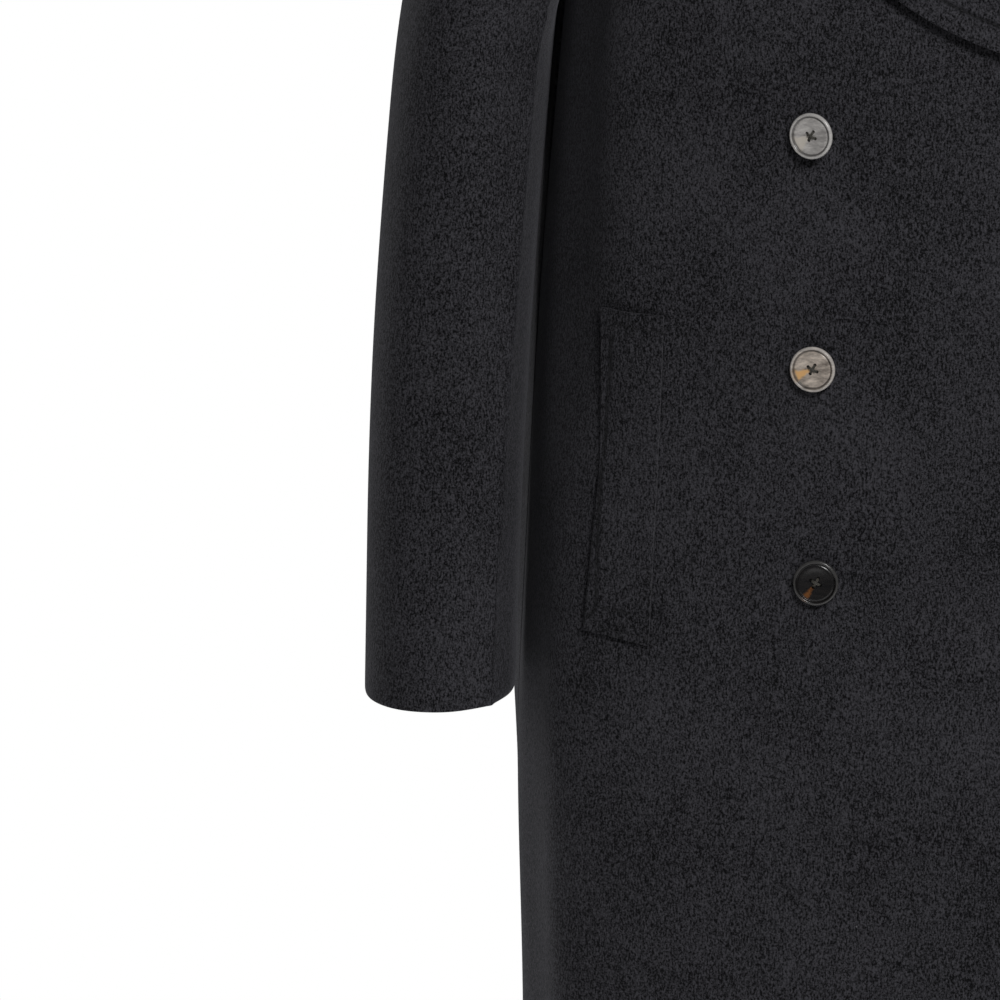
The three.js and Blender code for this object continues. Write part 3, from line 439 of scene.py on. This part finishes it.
def pressed(node, marks):
    """Moves the cloth along each mark: (path, depths in mm, widths in mm), in is minus."""
    piece = cloth[node]
    spots = points_of(piece)
    way = outwards(spots, node)
    push = np.zeros(len(spots))
    for path, depths, widths in marks:
        stations = np.linspace(0.0, 1.0, 40)
        given = np.linspace(0.0, 1.0, len(path))
        line = np.stack([np.interp(stations, given, [p[a] for p in path]) for a in range(3)], 1)
        depth = np.interp(stations, np.linspace(0, 1, len(depths)), depths) * MM
        width = np.interp(stations, np.linspace(0, 1, len(widths)), widths) * MM
        apart = np.linalg.norm(spots[:, None, :] - line[None, :, :], axis=2)
        nearest = apart.argmin(axis=1)
        reach = apart[np.arange(len(spots)), nearest] / width[nearest]
        push += depth[nearest] * np.exp(-(reach**2))
    set_points(piece, spots + way * push[:, None])
    trees[node] = tree_of(piece)
    print(node, "marks", len(marks), "deepest", round(float(np.abs(push).max()) / MM, 2), "mm")


def path_on(node, spots, back=False):
    """A path through points given by x and z in mm, laid on the piece."""
    found = [laid(node, x * MM, z * MM, back)[0] for x, z in spots]
    return [tuple(spot) for spot in found if spot is not None]

# %% [markdown]
# The marks of the two fronts are alike and not mirrored: the left front lies under the right one,
# and the eye notices two equal halves at once.

# %% Press the fronts
RIGHT_FRONT_MARKS = [
    ([(-31, -430), (-29, -600), (-31, -790)], [0, -0.55, -0.5, 0], [6, 7, 8]),
    ([(-24, -432), (-22, -600), (-24, -800)], [0, 0.35, 0.3, 0], [9, 10, 9]),
    ([(-168, -472), (-150, -500), (-138, -540)], [0, -0.9, 0], [14, 18, 16]),
    ([(-176, -668), (-150, -690), (-128, -730)], [0, -1.0, 0], [15, 20, 18]),
    ([(-100, -650), (-112, -740), (-118, -850)], [0, -1.3, -0.8, 0], [24, 30, 28]),
    ([(-198, -420), (-196, -330), (-176, -250)], [0, 1.2, 0], [18, 20, 20]),
    ([(60, -700), (52, -860), (58, -1050)], [0, -1.6, -1.0, 0], [24, 32, 30]),
    ([(-60, -900), (-66, -1000), (-58, -1120)], [0, 1.8, 2.2], [26, 34, 36]),
]
LEFT_FRONT_MARKS = [
    ([(170, -474), (154, -505), (140, -548)], [0, -1.0, 0], [14, 18, 16]),
    ([(178, -670), (156, -700), (140, -748)], [0, -0.9, 0], [16, 22, 18]),
    ([(198, -410), (194, -320), (172, -240)], [0, 1.4, 0], [18, 22, 20]),
    ([(150, -800), (158, -930), (150, -1080)], [0, -1.8, -1.4, 0], [28, 34, 32]),
]
for side_name, table in (("right", RIGHT_FRONT_MARKS), ("left", LEFT_FRONT_MARKS)):
    front_marks = []
    for spots, depths, widths in table:
        front_marks.append((path_on("front_" + side_name, spots), depths, widths))
    pressed("front_" + side_name, front_marks)
    pressed("pocket_welt_" + side_name, front_marks)

# %% [markdown]
# On the back, three soft marks lie across the shoulder blades and down the seat. A fourth one
# swells the side behind the arm, so that no light passes between the sleeve and the body.

# %% Press the backs
def to_side(spots, side):
    """The points with their distance from the middle turned to one side."""
    return [(side * across, z) for across, z in spots]


SHOULDER_BLADE = [(150, -190), (120, -235), (80, -262)]
LOWER_BLADE = [(176, -300), (140, -352), (92, -378)]
SEAT_RIDGE = [(60, -520), (66, -640), (58, -760)]
BEHIND_ARM = [(0.236, 0.032, -0.27), (0.242, 0.037, -0.33), (0.252, 0.038, -0.40)]
for back_side, turn in SIDES.items():
    uneven = 1.0 if back_side == "right" else 0.8
    node = "back_" + back_side
    blade = path_on(node, to_side(SHOULDER_BLADE, turn), True)
    lower = path_on(node, to_side(LOWER_BLADE, turn), True)
    seat = path_on(node, to_side(SEAT_RIDGE, turn), True)
    behind = [(turn * x, y, z) for x, y, z in BEHIND_ARM]
    back_marks = [
        (blade, [0, -1.8 * uneven, 0], [18, 24, 22]),
        (lower, [0, -2.2 * uneven, 0], [20, 28, 26]),
        (seat, [0, 1.6, 1.2 * uneven, 0], [30, 36, 34]),
        (behind, [4.0, 7.0, 5.0, 0], [22, 30, 30]),
    ]
    pressed(node, back_marks)

# %% [markdown]
# A sleeve bends at the elbow even when it hangs, so short dents cross it there, and long soft ones
# run down from the shoulder. They are drawn on the outer side and again on the side that no
# photograph shows.

# %% Press the sleeves
SLEEVE_MARKS = [
    ([(318, -452), (296, -470), (268, -478)], [0, -0.9, 0], [13, 17, 15], False),
    ([(262, -505), (290, -528), (324, -530)], [0, -0.8, 0], [13, 16, 14], False),
    ([(268, -190), (284, -270), (290, -360)], [0, 1.1, 0.8, 0], [18, 22, 20], False),
    ([(300, -560), (304, -620), (300, -690)], [0, 0.8, 0.6], [20, 24, 24], False),
    ([(312, -470), (290, -492), (262, -500)], [0, -1.6, 0], [15, 20, 18], True),
    ([(310, -250), (302, -330), (300, -400)], [0, 1.5, 0], [20, 24, 22], True),
]
for sleeve_side, turn in SIDES.items():
    uneven = 1.0 if sleeve_side == "right" else 1.2
    node = "sleeve_top_" + sleeve_side
    sleeve_marks = []
    for spots, depths, widths, back in SLEEVE_MARKS:
        path = path_on(node, to_side(spots, turn), back)
        own_depths = [depth * uneven if depth < 0 else depth for depth in depths]
        if len(path) > 1:
            sleeve_marks.append((path, own_depths, widths))
    pressed(node, sleeve_marks)
    pressed("sleeve_under_" + sleeve_side, sleeve_marks)

# %% [markdown]
# ## Sewn rows
# The lapels, the collar and the pockets are topstitched: a row of short stitches that draws the
# cloth in to a ditch. The ditch is a value kept on the points of the piece, how far each lies from
# the row, which the wool reads: it sinks the cloth there by bump and darkens its colour with painted
# shade. The stitches themselves are real: one is modelled, and its copies are laid along the row.

# %% Model one stitch
STITCH_LENGTH = 2.5
STITCH_STEP = 3.3
STITCH_RADIUS = 0.3
bpy.ops.object.select_all(action="DESELECT")
bpy.ops.mesh.primitive_cylinder_add(
    vertices=6,
    radius=STITCH_RADIUS * MM,
    depth=STITCH_LENGTH * MM,
    rotation=(0.0, math.pi / 2, 0.0),
)
one_stitch = bpy.context.object
bpy.ops.object.transform_apply(location=True, rotation=True, scale=True)
bpy.ops.object.mode_set(mode="EDIT")
for cut_place in (-0.8, 0.0, 0.8):
    bpy.ops.mesh.select_all(action="SELECT")
    bpy.ops.mesh.bisect(plane_co=(cut_place * MM, 0.0, 0.0), plane_no=(1.0, 0.0, 0.0))
bpy.ops.mesh.select_all(action="DESELECT")
bpy.ops.object.mode_set(mode="OBJECT")
for vertex in one_stitch.data.vertices:
    share = abs(vertex.co.x) / (STITCH_LENGTH * MM / 2)
    vertex.co.y *= 1.0 - 0.45 * share**2
    vertex.co.z = vertex.co.z * (1.0 - 0.4 * share**2) - 0.35 * MM * share**3
stitch_points = points_of(one_stitch)
stitch_faces = [list(face.vertices) for face in one_stitch.data.polygons]
bpy.data.objects.remove(one_stitch)
print("one stitch:", len(stitch_points), "points,", len(stitch_faces), "faces")

# %% [markdown]
# A row is a path on the cloth with the cloth's normal at each point. Stitches are laid at even
# steps along it, turned to its run, and all the stitches of one piece become one mesh.

# %% Lay rows of stitches
def along_row(spots, normals, step):
    """Even places along a path, with the normal and the run of the row at each."""
    spots = np.array(spots)
    normals = np.array(normals)
    lengths = np.r_[0.0, np.cumsum(np.linalg.norm(np.diff(spots, axis=0), axis=1))]
    stops = np.arange(step / 2, lengths[-1], step)
    places = np.stack([np.interp(stops, lengths, spots[:, a]) for a in range(3)], 1)
    ups = np.stack([np.interp(stops, lengths, normals[:, a]) for a in range(3)], 1)
    ahead = np.stack([np.interp(stops + step * 0.3, lengths, spots[:, a]) for a in range(3)], 1)
    behind = np.stack([np.interp(stops - step * 0.3, lengths, spots[:, a]) for a in range(3)], 1)
    return places, ups, ahead - behind


def stitches(name, rows, material):
    """One mesh of all the stitches of the rows; each row is (points, normals)."""
    points, faces = [], []
    for spots, normals in rows:
        for place, up, run in zip(*along_row(spots, normals, STITCH_STEP * MM)):
            run = run / np.linalg.norm(run)
            across = np.cross(up, run)
            across /= np.linalg.norm(across)
            up = np.cross(run, across)
            first = len(points) * len(stitch_points)
            turned_points = stitch_points @ np.array([run, across, up])
            points.append(turned_points + place + up * 0.08 * MM)
            faces += [[first + corner for corner in face] for face in stitch_faces]
    mesh = bpy.data.meshes.new(name)
    mesh.from_pydata(np.concatenate(points).tolist(), [], faces)
    piece = bpy.data.objects.new(name, mesh)
    bpy.context.scene.collection.objects.link(piece)
    mesh.materials.append(material)
    only(piece)
    bpy.ops.object.shade_smooth()
    print(name, "stitches", len(points))
    return piece


def thread_finish(name, colour):
    """Sewing thread: two strands twisted, so fine slanted ribs run over it."""
    material = bpy.data.materials.new(name)
    material.use_nodes = True
    tree = material.node_tree
    thread = tree.nodes["Principled BSDF"]
    place = tree.nodes.new("ShaderNodeTexCoord").outputs["Object"]
    twist = tree.nodes.new("ShaderNodeTexWave")
    twist.wave_type = "BANDS"
    twist.bands_direction = "DIAGONAL"
    twist.inputs["Scale"].default_value = 900.0
    twist.inputs["Distortion"].default_value = 1.5
    link(tree, place, twist.inputs["Vector"])
    darker = tuple(0.45 * part for part in colour)
    tone = blended(tree, twist.outputs["Fac"], darker, colour)
    link(tree, tone, thread.inputs["Base Color"])
    lift = tree.nodes.new("ShaderNodeBump")
    lift.inputs["Strength"].default_value = 0.5
    lift.inputs["Distance"].default_value = 0.0001
    link(tree, twist.outputs["Fac"], lift.inputs["Height"])
    link(tree, lift.outputs["Normal"], thread.inputs["Normal"])
    thread.inputs["Roughness"].default_value = 0.6
    return material


BLACK_THREAD = thread_finish("black_thread", (0.012, 0.012, 0.014))
BUTTON_THREAD = thread_finish("button_thread", (0.105, 0.098, 0.082))

# %% [markdown]
# A row on a lapel runs a fixed distance inside the cut edge, and turns where the next edge comes
# near. The edge is known from the pattern, as points seen from the front. Its inset is found by
# stepping in at right angles and dropping each place that comes too near another stretch of edge.

# %% Sew the lapels
LAPEL_INSET = 14.5
lapel_pattern = [
    (-105, -328), (-66, -324), (-28, -314), (2, -302.5), (33, -285), (76, -251),
    (111, -212), (138, -165), (153, -120), (161, -84),
]
LAPEL_NOTCH = (104, -100)


def rounded(pattern, steps_between):
    """A smooth line through the points of a pattern."""
    spots = np.array(pattern, float)
    run = np.r_[0.0, np.cumsum(np.linalg.norm(np.diff(spots, axis=0), axis=1))]
    slopes = np.gradient(spots, run, axis=0)
    line = []
    for index in range(len(spots) - 1):
        gap = run[index + 1] - run[index]
        for share in np.linspace(0, 1, steps_between, endpoint=False):
            a = 2 * share**3 - 3 * share**2 + 1
            b = share**3 - 2 * share**2 + share
            c = -2 * share**3 + 3 * share**2
            d = share**3 - share**2
            here = a * spots[index] + b * gap * slopes[index]
            line.append(here + c * spots[index + 1] + d * gap * slopes[index + 1])
    return np.array([*line, spots[-1]])


def inset(line, distance, turn):
    """The line moved sideways, without the places that come too near any of its own points."""
    run = np.gradient(line, axis=0)
    run /= np.linalg.norm(run, axis=1)[:, None]
    moved = line + turn * distance * np.stack([-run[:, 1], run[:, 0]], 1)
    near = np.linalg.norm(moved[:, None, :] - line[None, :, :], axis=2).min(axis=1)
    return moved[near > distance * 0.985]


edge_line = rounded(lapel_pattern, 14)
shares = np.linspace(0, 1, 40)[1:, None]
top_line = np.array(lapel_pattern[-1]) * (1 - shares) + np.array(LAPEL_NOTCH) * shares
whole_edge = np.concatenate([edge_line, top_line])
lapel_row = inset(whole_edge, LAPEL_INSET, 1.0)


def row_value(node, distances):
    """Keeps each point's distance from the sewn row on the piece, for the wool to read."""
    kept = cloth[node].data.attributes.new("sewn_row", "FLOAT", "POINT")
    kept.data.foreach_set("value", distances.astype(np.float32))


def nearest_distance(spots, line):
    """How far each point lies from a line of close points."""
    found = np.full(len(spots), 1e9)
    for start in range(0, len(line), 60):
        part = line[start : start + 60]
        apart = np.linalg.norm(spots[:, None, :] - part[None], axis=2)
        found = np.minimum(found, apart.min(axis=1))
    return found


fine_edge = np.concatenate([rounded(lapel_pattern, 60), top_line])
for side_name, side in SIDES.items():
    node = "lapel_" + side_name
    row_spots, row_normals = [], []
    for across, z in lapel_row:
        spot, normal = laid(node, side * across * MM, z * MM)
        if spot is not None and normal.y < -0.2:
            row_spots.append(tuple(spot))
            row_normals.append(tuple(normal))
    spots = points_of(cloth[node])
    seen_flat = np.stack([spots[:, 0] * side, spots[:, 2]], 1)
    row_value(node, nearest_distance(seen_flat, fine_edge * MM) - LAPEL_INSET * MM)
    sewn = stitches("lapel_stitches_" + side_name, [(row_spots, row_normals)], BLACK_THREAD)
    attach(sewn, "root")

# %% [markdown]
# The collar is sewn in the same way, at the same distance from its outer edge. Its edge runs right
# round the neck, so each place is found on the surface itself: a step in from the edge, laid on the
# cloth, and corrected until its distance from the edge is right.

# %% Sew the collar
collar_edge = [
    (0, 70, -46), (50, 66, -44), (100, 50, -36), (127, 10, -26), (129, -34, -40), (122, -70, -66),
]
half_edge = rounded(collar_edge, 24)
collar_line = np.concatenate([half_edge[::-1] * [-1, 1, 1], half_edge[1:]]) * MM


def inside_collar(edge_spot):
    """The place on the collar one inset from this place of its edge."""
    edge_spot = Vector(edge_spot)
    to_neck = Vector((edge_spot.x * 0.55, edge_spot.y * 0.55 + 0.004, edge_spot.z + 0.06))
    step = (to_neck - edge_spot).normalized() * LAPEL_INSET * MM
    outer = Vector((edge_spot.x, edge_spot.y, 0.09)).normalized() * 0.004
    found = None
    for _ in range(4):
        spot, normal, _, _ = trees["collar"].find_nearest(edge_spot + step + outer)
        found = (spot, normal)
        step = (spot - edge_spot).normalized() * LAPEL_INSET * MM
    return found


collar_row = [inside_collar(spot) for spot in collar_line]
spots = points_of(cloth["collar"])
row_value("collar", nearest_distance(spots, collar_line) - LAPEL_INSET * MM)
sewn = stitches(
    "collar_stitches",
    [([tuple(s) for s, n in collar_row], [tuple(n) for s, n in collar_row])],
    BLACK_THREAD,
)
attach(sewn, "root")

# %% [markdown]
# The pocket is a slanted slit with a welt. Two short rows bar it at the top and two at the bottom,
# one long row follows its opening just inside the edge, and a short slanting row mitres the lower
# corner. They are the finest drawing of the whole front, so each is given one by one.

# %% Sew the pockets
pocket_rows = [
    [(200.5, -460.8), (183, -463.0), (167.5, -465.6)],
    [(197.6, -472.8), (183, -474.9), (168.5, -477.0)],
    [(199.0, -479.5), (202.6, -536), (205.7, -572), (207.2, -606), (207.5, -638.5)],
    [(207.5, -639.5), (192, -641.6), (177.8, -644.5)],
    [(205.5, -652.0), (190, -654.0), (175.6, -656.6)],
    [(207.6, -639.4), (210.6, -643.4), (213.0, -647.0)],
]


def pocket_distance(spots, side):
    """How far each point lies from the nearest pocket row, as seen from the front."""
    seen_flat = np.stack([spots[:, 0] * side, spots[:, 2]], 1)
    found = np.full(len(spots), 1e9)
    for pattern in pocket_rows:
        found = np.minimum(found, nearest_distance(seen_flat, rounded(pattern, 40) * MM))
    return found


for side_name, side in SIDES.items():
    rows = []
    for pattern in pocket_rows:
        row_spots, row_normals = [], []
        for across, z in rounded(pattern, 12):
            panels = ("pocket_welt_" + side_name, "front_" + side_name)
            hits = [laid(panel, side * across * MM, z * MM) for panel in panels]
            hits = [hit for hit in hits if hit[0] is not None]
            if hits:
                spot, normal = min(hits, key=lambda hit: hit[0].y)
                row_spots.append(tuple(spot))
                row_normals.append(tuple(normal))
        rows.append((row_spots, row_normals))
    node = "pocket_welt_" + side_name
    row_value(node, pocket_distance(points_of(cloth[node]), side))
    sewn = stitches("pocket_stitches_" + side_name, rows, BLACK_THREAD)
    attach(sewn, "root")

# %% [markdown]
# ## Horn buttons
# Each button is a turned disc of horn: a raised round rim, a fine groove, a shallow dish and four
# holes close together. It is drawn as a disc whose face is pushed out and scaled ring by ring, as
# the turner's chisel would go, smoothed, and then bored. One is made and then copied.

# %% Turn one button
button_rings = [
    (9.2, 0.0), (12.0, 0.45), (13.15, 1.4), (13.4, 2.2), (13.25, 3.1), (12.85, 3.7), (12.3, 3.9),
    (11.7, 3.75), (11.25, 3.2), (10.95, 2.75), (10.6, 2.72), (10.3, 3.05), (9.6, 3.1), (8.2, 2.88),
    (6.2, 2.5), (3.4, 2.3), (1.2, 2.26),
]
HOLE_CIRCLE = 2.9
HOLE_RADIUS = 1.0
HOLE_TURN = 62
bpy.ops.object.select_all(action="DESELECT")
bpy.ops.mesh.primitive_circle_add(vertices=32, radius=button_rings[0][0] * MM, fill_type="NGON")
button = bpy.context.object
button.name = "turned_button"
bpy.ops.object.mode_set(mode="EDIT")
bpy.ops.mesh.select_all(action="SELECT")
for (radius, height), (next_radius, next_height) in zip(button_rings, button_rings[1:]):
    bpy.ops.mesh.extrude_region_move(
        TRANSFORM_OT_translate={"value": (0.0, 0.0, (next_height - height) * MM)}
    )
    growth = next_radius / radius
    ring_middle = (0.0, 0.0, next_height * MM)
    bpy.ops.transform.resize(value=(growth, growth, 1.0), center_override=ring_middle)
bpy.ops.mesh.select_all(action="SELECT")
bpy.ops.mesh.normals_make_consistent(inside=False)
bpy.ops.mesh.select_all(action="DESELECT")
bpy.ops.object.mode_set(mode="OBJECT")
smoothing = button.modifiers.new("smoothing", "SUBSURF")
smoothing.levels = 1
smoothing.render_levels = 1
bpy.ops.object.modifier_apply(modifier="smoothing")
for quarter in range(4):
    angle = math.radians(HOLE_TURN + 90 * quarter)
    bpy.ops.object.select_all(action="DESELECT")
    bpy.ops.mesh.primitive_cylinder_add(
        vertices=20,
        radius=HOLE_RADIUS * MM,
        depth=12 * MM,
        location=(HOLE_CIRCLE * MM * math.cos(angle), HOLE_CIRCLE * MM * math.sin(angle), 2 * MM),
    )
    drill = bpy.context.object
    only(button)
    boring = button.modifiers.new("boring", "BOOLEAN")
    boring.operation = "DIFFERENCE"
    boring.solver = "EXACT"
    boring.object = drill
    bpy.ops.object.modifier_apply(modifier="boring")
    bpy.data.objects.remove(drill)
button_points = points_of(button)
button_height = button_points[:, 2].max() / MM
print("button:", len(button.data.polygons), "faces, height", round(button_height, 2))

# %% [markdown]
# Horn is layered, so no two buttons are alike. The upper ones are a cloudy grey with tan wedges,
# and the lowest is nearly black with a single brown streak. All are polished. The colours follow
# each button's own place, which is kept on its points.

# %% Make the horn
GROOVE_PAINTED_SHADE = (0.008, 0.007, 0.007)
RIM_PAINTED_HIGHLIGHT = (0.82, 0.80, 0.78)


def horn(name, base, cloud, wedge, wedge_from, wedge_wide, rough, rim_highlight_share):
    """Polished horn: clouds in the base colour, a wedge of another, painted shade in the groove and
    a painted highlight on the rim.
    """
    material = bpy.data.materials.new(name)
    material.use_nodes = True
    tree = material.node_tree
    gloss = tree.nodes["Principled BSDF"]
    own = tree.nodes.new("ShaderNodeAttribute")
    own.attribute_name = "button_place"
    place = own.outputs["Vector"]
    drift = turned(tree, place, (0.0, 0.0, math.radians(wedge_from)), (1.0, 2.6, 1.0))
    clouds = noise(tree, drift, 0.16, 4.0, 0.6)
    tone = blended(tree, span(tree, clouds, 0.35, 0.68, 0.0, 1.0), base, cloud)
    flat = tree.nodes.new("ShaderNodeSeparateXYZ")
    wedge_turn = (0.0, 0.0, math.radians(-wedge_from))
    link(tree, turned(tree, place, wedge_turn, (1.0, 1.0, 1.0)), flat.inputs[0])
    edge_noise = span(tree, noise(tree, place, 0.5, 3.0, 0.6), 0.2, 0.8, -1.0, 1.0)
    ragged = sums(tree, "MULTIPLY", edge_noise, 0.9)
    side_reach = sums(tree, "ABSOLUTE", sums(tree, "ADD", flat.outputs["Y"], ragged), 0.0)
    limit = sums(tree, "MULTIPLY", flat.outputs["X"], wedge_wide)
    inside = span(tree, sums(tree, "SUBTRACT", limit, side_reach), -0.6, 0.9, 0.0, 1.0)
    ahead = span(tree, flat.outputs["X"], 0.5, 2.2, 0.0, 1.0)
    rim_off = span(tree, flat.outputs["X"], 9.4, 10.6, 1.0, 0.25)
    inside = sums(tree, "MULTIPLY", sums(tree, "MULTIPLY", inside, ahead), rim_off)
    tone = blended(tree, inside, tone, wedge)
    round_reach = tree.nodes.new("ShaderNodeVectorMath")
    round_reach.operation = "LENGTH"
    link(tree, turned(tree, place, (0.0, 0.0, 0.0), (1.0, 1.0, 0.0)), round_reach.inputs[0])
    from_middle = round_reach.outputs["Value"]
    # Painted shade darkens the fine groove, found by its distance from the middle.
    outer_side = span(tree, from_middle, 10.3, 10.8, 0.0, 1.0)
    inner_side = span(tree, from_middle, 11.3, 11.9, 1.0, 0.0)
    painted_groove_shade = sums(tree, "MULTIPLY", outer_side, inner_side)
    tone = blended(tree, sums(tree, "MULTIPLY", painted_groove_shade, 0.75), tone, GROOVE_PAINTED_SHADE)
    # A painted highlight lightens the raised rim, more on the paler horns.
    painted_rim_highlight = sums(tree, "MULTIPLY", span(tree, from_middle, 11.7, 12.1, 0.0, 1.0), rim_highlight_share)
    tone = blended(tree, painted_rim_highlight, tone, RIM_PAINTED_HIGHLIGHT)
    link(tree, tone, gloss.inputs["Base Color"])
    lift = tree.nodes.new("ShaderNodeBump")
    lift.inputs["Strength"].default_value = 0.15
    lift.inputs["Distance"].default_value = 0.0002
    link(tree, noise(tree, drift, 2.2, 3.0, 0.6), lift.inputs["Height"])
    link(tree, lift.outputs["Normal"], gloss.inputs["Normal"])
    gloss.inputs["Roughness"].default_value = rough
    gloss.inputs["Coat Weight"].default_value = 0.35
    gloss.inputs["Coat Roughness"].default_value = 0.12
    return material


grey_tones = ((0.38, 0.36, 0.35), (0.78, 0.75, 0.72), (0.80, 0.74, 0.66))
brown_tones = ((0.26, 0.22, 0.19), (0.85, 0.74, 0.64), (0.95, 0.56, 0.24))
black_tones = ((0.010, 0.010, 0.011), (0.022, 0.020, 0.020), (0.22, 0.085, 0.025))
HORN = {
    1: horn("horn_grey", *grey_tones, wedge_from=212, wedge_wide=0.5, rough=0.28, rim_highlight_share=0.5),
    2: horn("horn_brown", *brown_tones, wedge_from=203, wedge_wide=0.34, rough=0.28, rim_highlight_share=0.45),
    3: horn("horn_black", *black_tones, wedge_from=236, wedge_wide=0.16, rough=0.26, rim_highlight_share=0.07),
}
WIDEST_BAND = 0.25
WIDEST_HEIGHT = 2.2


def seat_of(node):
    """The turning axis of a button solid, from the ring of points at its widest."""
    spots = points_of(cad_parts[node])
    spots = np.unique(spots.round(7), axis=0)
    middle, ring = spots.mean(0), spots
    for _ in range(4):
        axis = np.linalg.svd(ring - middle)[2][2]
        flat = (spots - middle) - np.outer((spots - middle) @ axis, axis)
        reach = np.linalg.norm(flat, axis=1)
        ring = spots[reach > reach.max() - WIDEST_BAND * MM]
        middle = ring.mean(0)
    if axis[1] > 0:
        axis = -axis
    return Vector(middle), Vector(axis), len(ring)


def placed(piece, node):
    """Moves a piece that is drawn about the button's own axis to the button's place."""
    middle, axis, _ = seat_of(node)
    right_way = Vector((1.0, 0.0, 0.0))
    across = (right_way - axis * right_way.dot(axis)).normalized()
    up = axis.cross(across)
    turned_axes = Matrix((across, up, axis)).transposed().to_4x4()
    lowered = Matrix.Translation((0, 0, -WIDEST_HEIGHT * MM))
    piece.data.transform(Matrix.Translation(middle) @ turned_axes @ lowered)


BUTTON_NODES = [f"button_{side}_{row}" for side in SIDES for row in (1, 2, 3)]
for node in BUTTON_NODES:
    middle, axis, ring_points = seat_of(node)
    print(node, [round(v, 4) for v in middle], [round(v, 3) for v in axis], ring_points)

# %% [markdown]
# Two strands of thread cross in the middle of each button and go down through the holes to the
# cloth. A strand is a thin rod, cut across with bisect and bent down at both ends. Under the button
# the strands are wound into a short shank.

# %% Make the thread of a button
bpy.ops.object.select_all(action="DESELECT")
STRAND_RADIUS = 0.42
STRAND_PAST_HOLE = 0.25
bpy.ops.mesh.primitive_cylinder_add(
    vertices=8,
    radius=STRAND_RADIUS * MM,
    depth=2 * (HOLE_CIRCLE + STRAND_PAST_HOLE) * MM,
    rotation=(0.0, math.pi / 2, 0.0),
)
strand = bpy.context.object
bpy.ops.object.transform_apply(location=True, rotation=True, scale=True)
bpy.ops.object.mode_set(mode="EDIT")
for cut_place in (-2.6, -2.0, -1.2, 0.0, 1.2, 2.0, 2.6):
    bpy.ops.mesh.select_all(action="SELECT")
    bpy.ops.mesh.bisect(plane_co=(cut_place * MM, 0.0, 0.0), plane_no=(1.0, 0.0, 0.0))
bpy.ops.mesh.select_all(action="DESELECT")
bpy.ops.object.mode_set(mode="OBJECT")
strand_points = points_of(strand)
past = np.clip((np.abs(strand_points[:, 0]) / MM - 1.6) / 1.55, 0, 1)
strand_points[:, 2] += (2.75 - 2.0 * past**2) * MM
set_points(strand, strand_points)
strand_faces = [list(face.vertices) for face in strand.data.polygons]
bpy.data.objects.remove(strand)


STRANDS = ((0, 0, 0.36), (0, 0, -0.36), (90, 0.28, 0.36), (90, 0.28, -0.36))
SHANK_RADIUS = 1.8
SHANK_SIDES = 10
SHANK_STEP = 0.3
SHANK_HEIGHTS = [-1.5 + SHANK_STEP * turn for turn in range(8)]


def turn_about_axis(angle):
    """Turns rows of points about the button's axis."""
    cosine, sine = math.cos(angle), math.sin(angle)
    return np.array([[cosine, sine, 0], [-sine, cosine, 0], [0, 0, 1]])


def thread_of(name):
    """Four strands, two each way, and the wound shank under the button."""
    points, faces = [], []
    for turn, lift, aside in STRANDS:
        spin = turn_about_axis(math.radians(HOLE_TURN + turn))
        first = sum(len(part) for part in points)
        points.append((strand_points + np.array([0, aside, lift]) * MM) @ spin)
        faces += [[first + corner for corner in face] for face in strand_faces]
    for height in SHANK_HEIGHTS:
        first = sum(len(part) for part in points)
        around = np.arange(SHANK_SIDES) * 2 * math.pi / SHANK_SIDES
        wide = SHANK_RADIUS * (1.0 if round(height / SHANK_STEP) % 2 else 0.86)
        ring = np.stack([wide * np.cos(around), wide * np.sin(around), 0 * around + height], 1)
        points.append(ring * MM)
        if height > SHANK_HEIGHTS[0]:
            for corner in range(SHANK_SIDES):
                following = (corner + 1) % SHANK_SIDES
                low, high = first - SHANK_SIDES, first
                faces.append([low + corner, low + following, high + following, high + corner])
    mesh = bpy.data.meshes.new(name)
    mesh.from_pydata(np.concatenate(points).tolist(), [], faces)
    piece = bpy.data.objects.new(name, mesh)
    bpy.context.scene.collection.objects.link(piece)
    mesh.materials.append(BUTTON_THREAD)
    only(piece)
    bpy.ops.object.shade_smooth()
    return piece


LEFT_HORN_TURN = 1.9
for node in BUTTON_NODES:
    row = int(node[-1])
    own_button = bpy.data.objects.new(node + "_horn", button.data.copy())
    bpy.context.scene.collection.objects.link(own_button)
    own_place = own_button.data.attributes.new("button_place", "FLOAT_VECTOR", "POINT")
    own_turn = 0.0 if node.startswith("button_right") else LEFT_HORN_TURN
    spun = button_points / MM @ turn_about_axis(-own_turn)
    own_place.data.foreach_set("vector", spun.astype(np.float32).ravel())
    own_button.data.materials.clear()
    own_button.data.materials.append(HORN[row])
    only(own_button)
    bpy.ops.object.shade_smooth_by_angle(angle=math.radians(40))
    placed(own_button, node)
    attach(own_button, "root")
    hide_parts(node)
    thread = thread_of(node + "_thread")
    placed(thread, node)
    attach(thread, "root")
bpy.data.objects.remove(button)
print("buttons dressed:", len(BUTTON_NODES))

# %% [markdown]
# ## Dress the cloth
# Every piece of cloth gets its wool and rides on the coat, and the solid it was copied from is
# hidden.

# %% Dress the cloth pieces
for node, piece in cloth.items():
    kind = BODY_WOOL
    if node.startswith("sleeve"):
        kind = SLEEVE_WOOL
    if node.startswith("lapel") or node == "collar":
        kind = TURNED_WOOL
    if node.startswith("pocket"):
        kind = WELT_WOOL
    piece.data.materials.append(kind)
    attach(piece, "root")
    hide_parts(node)
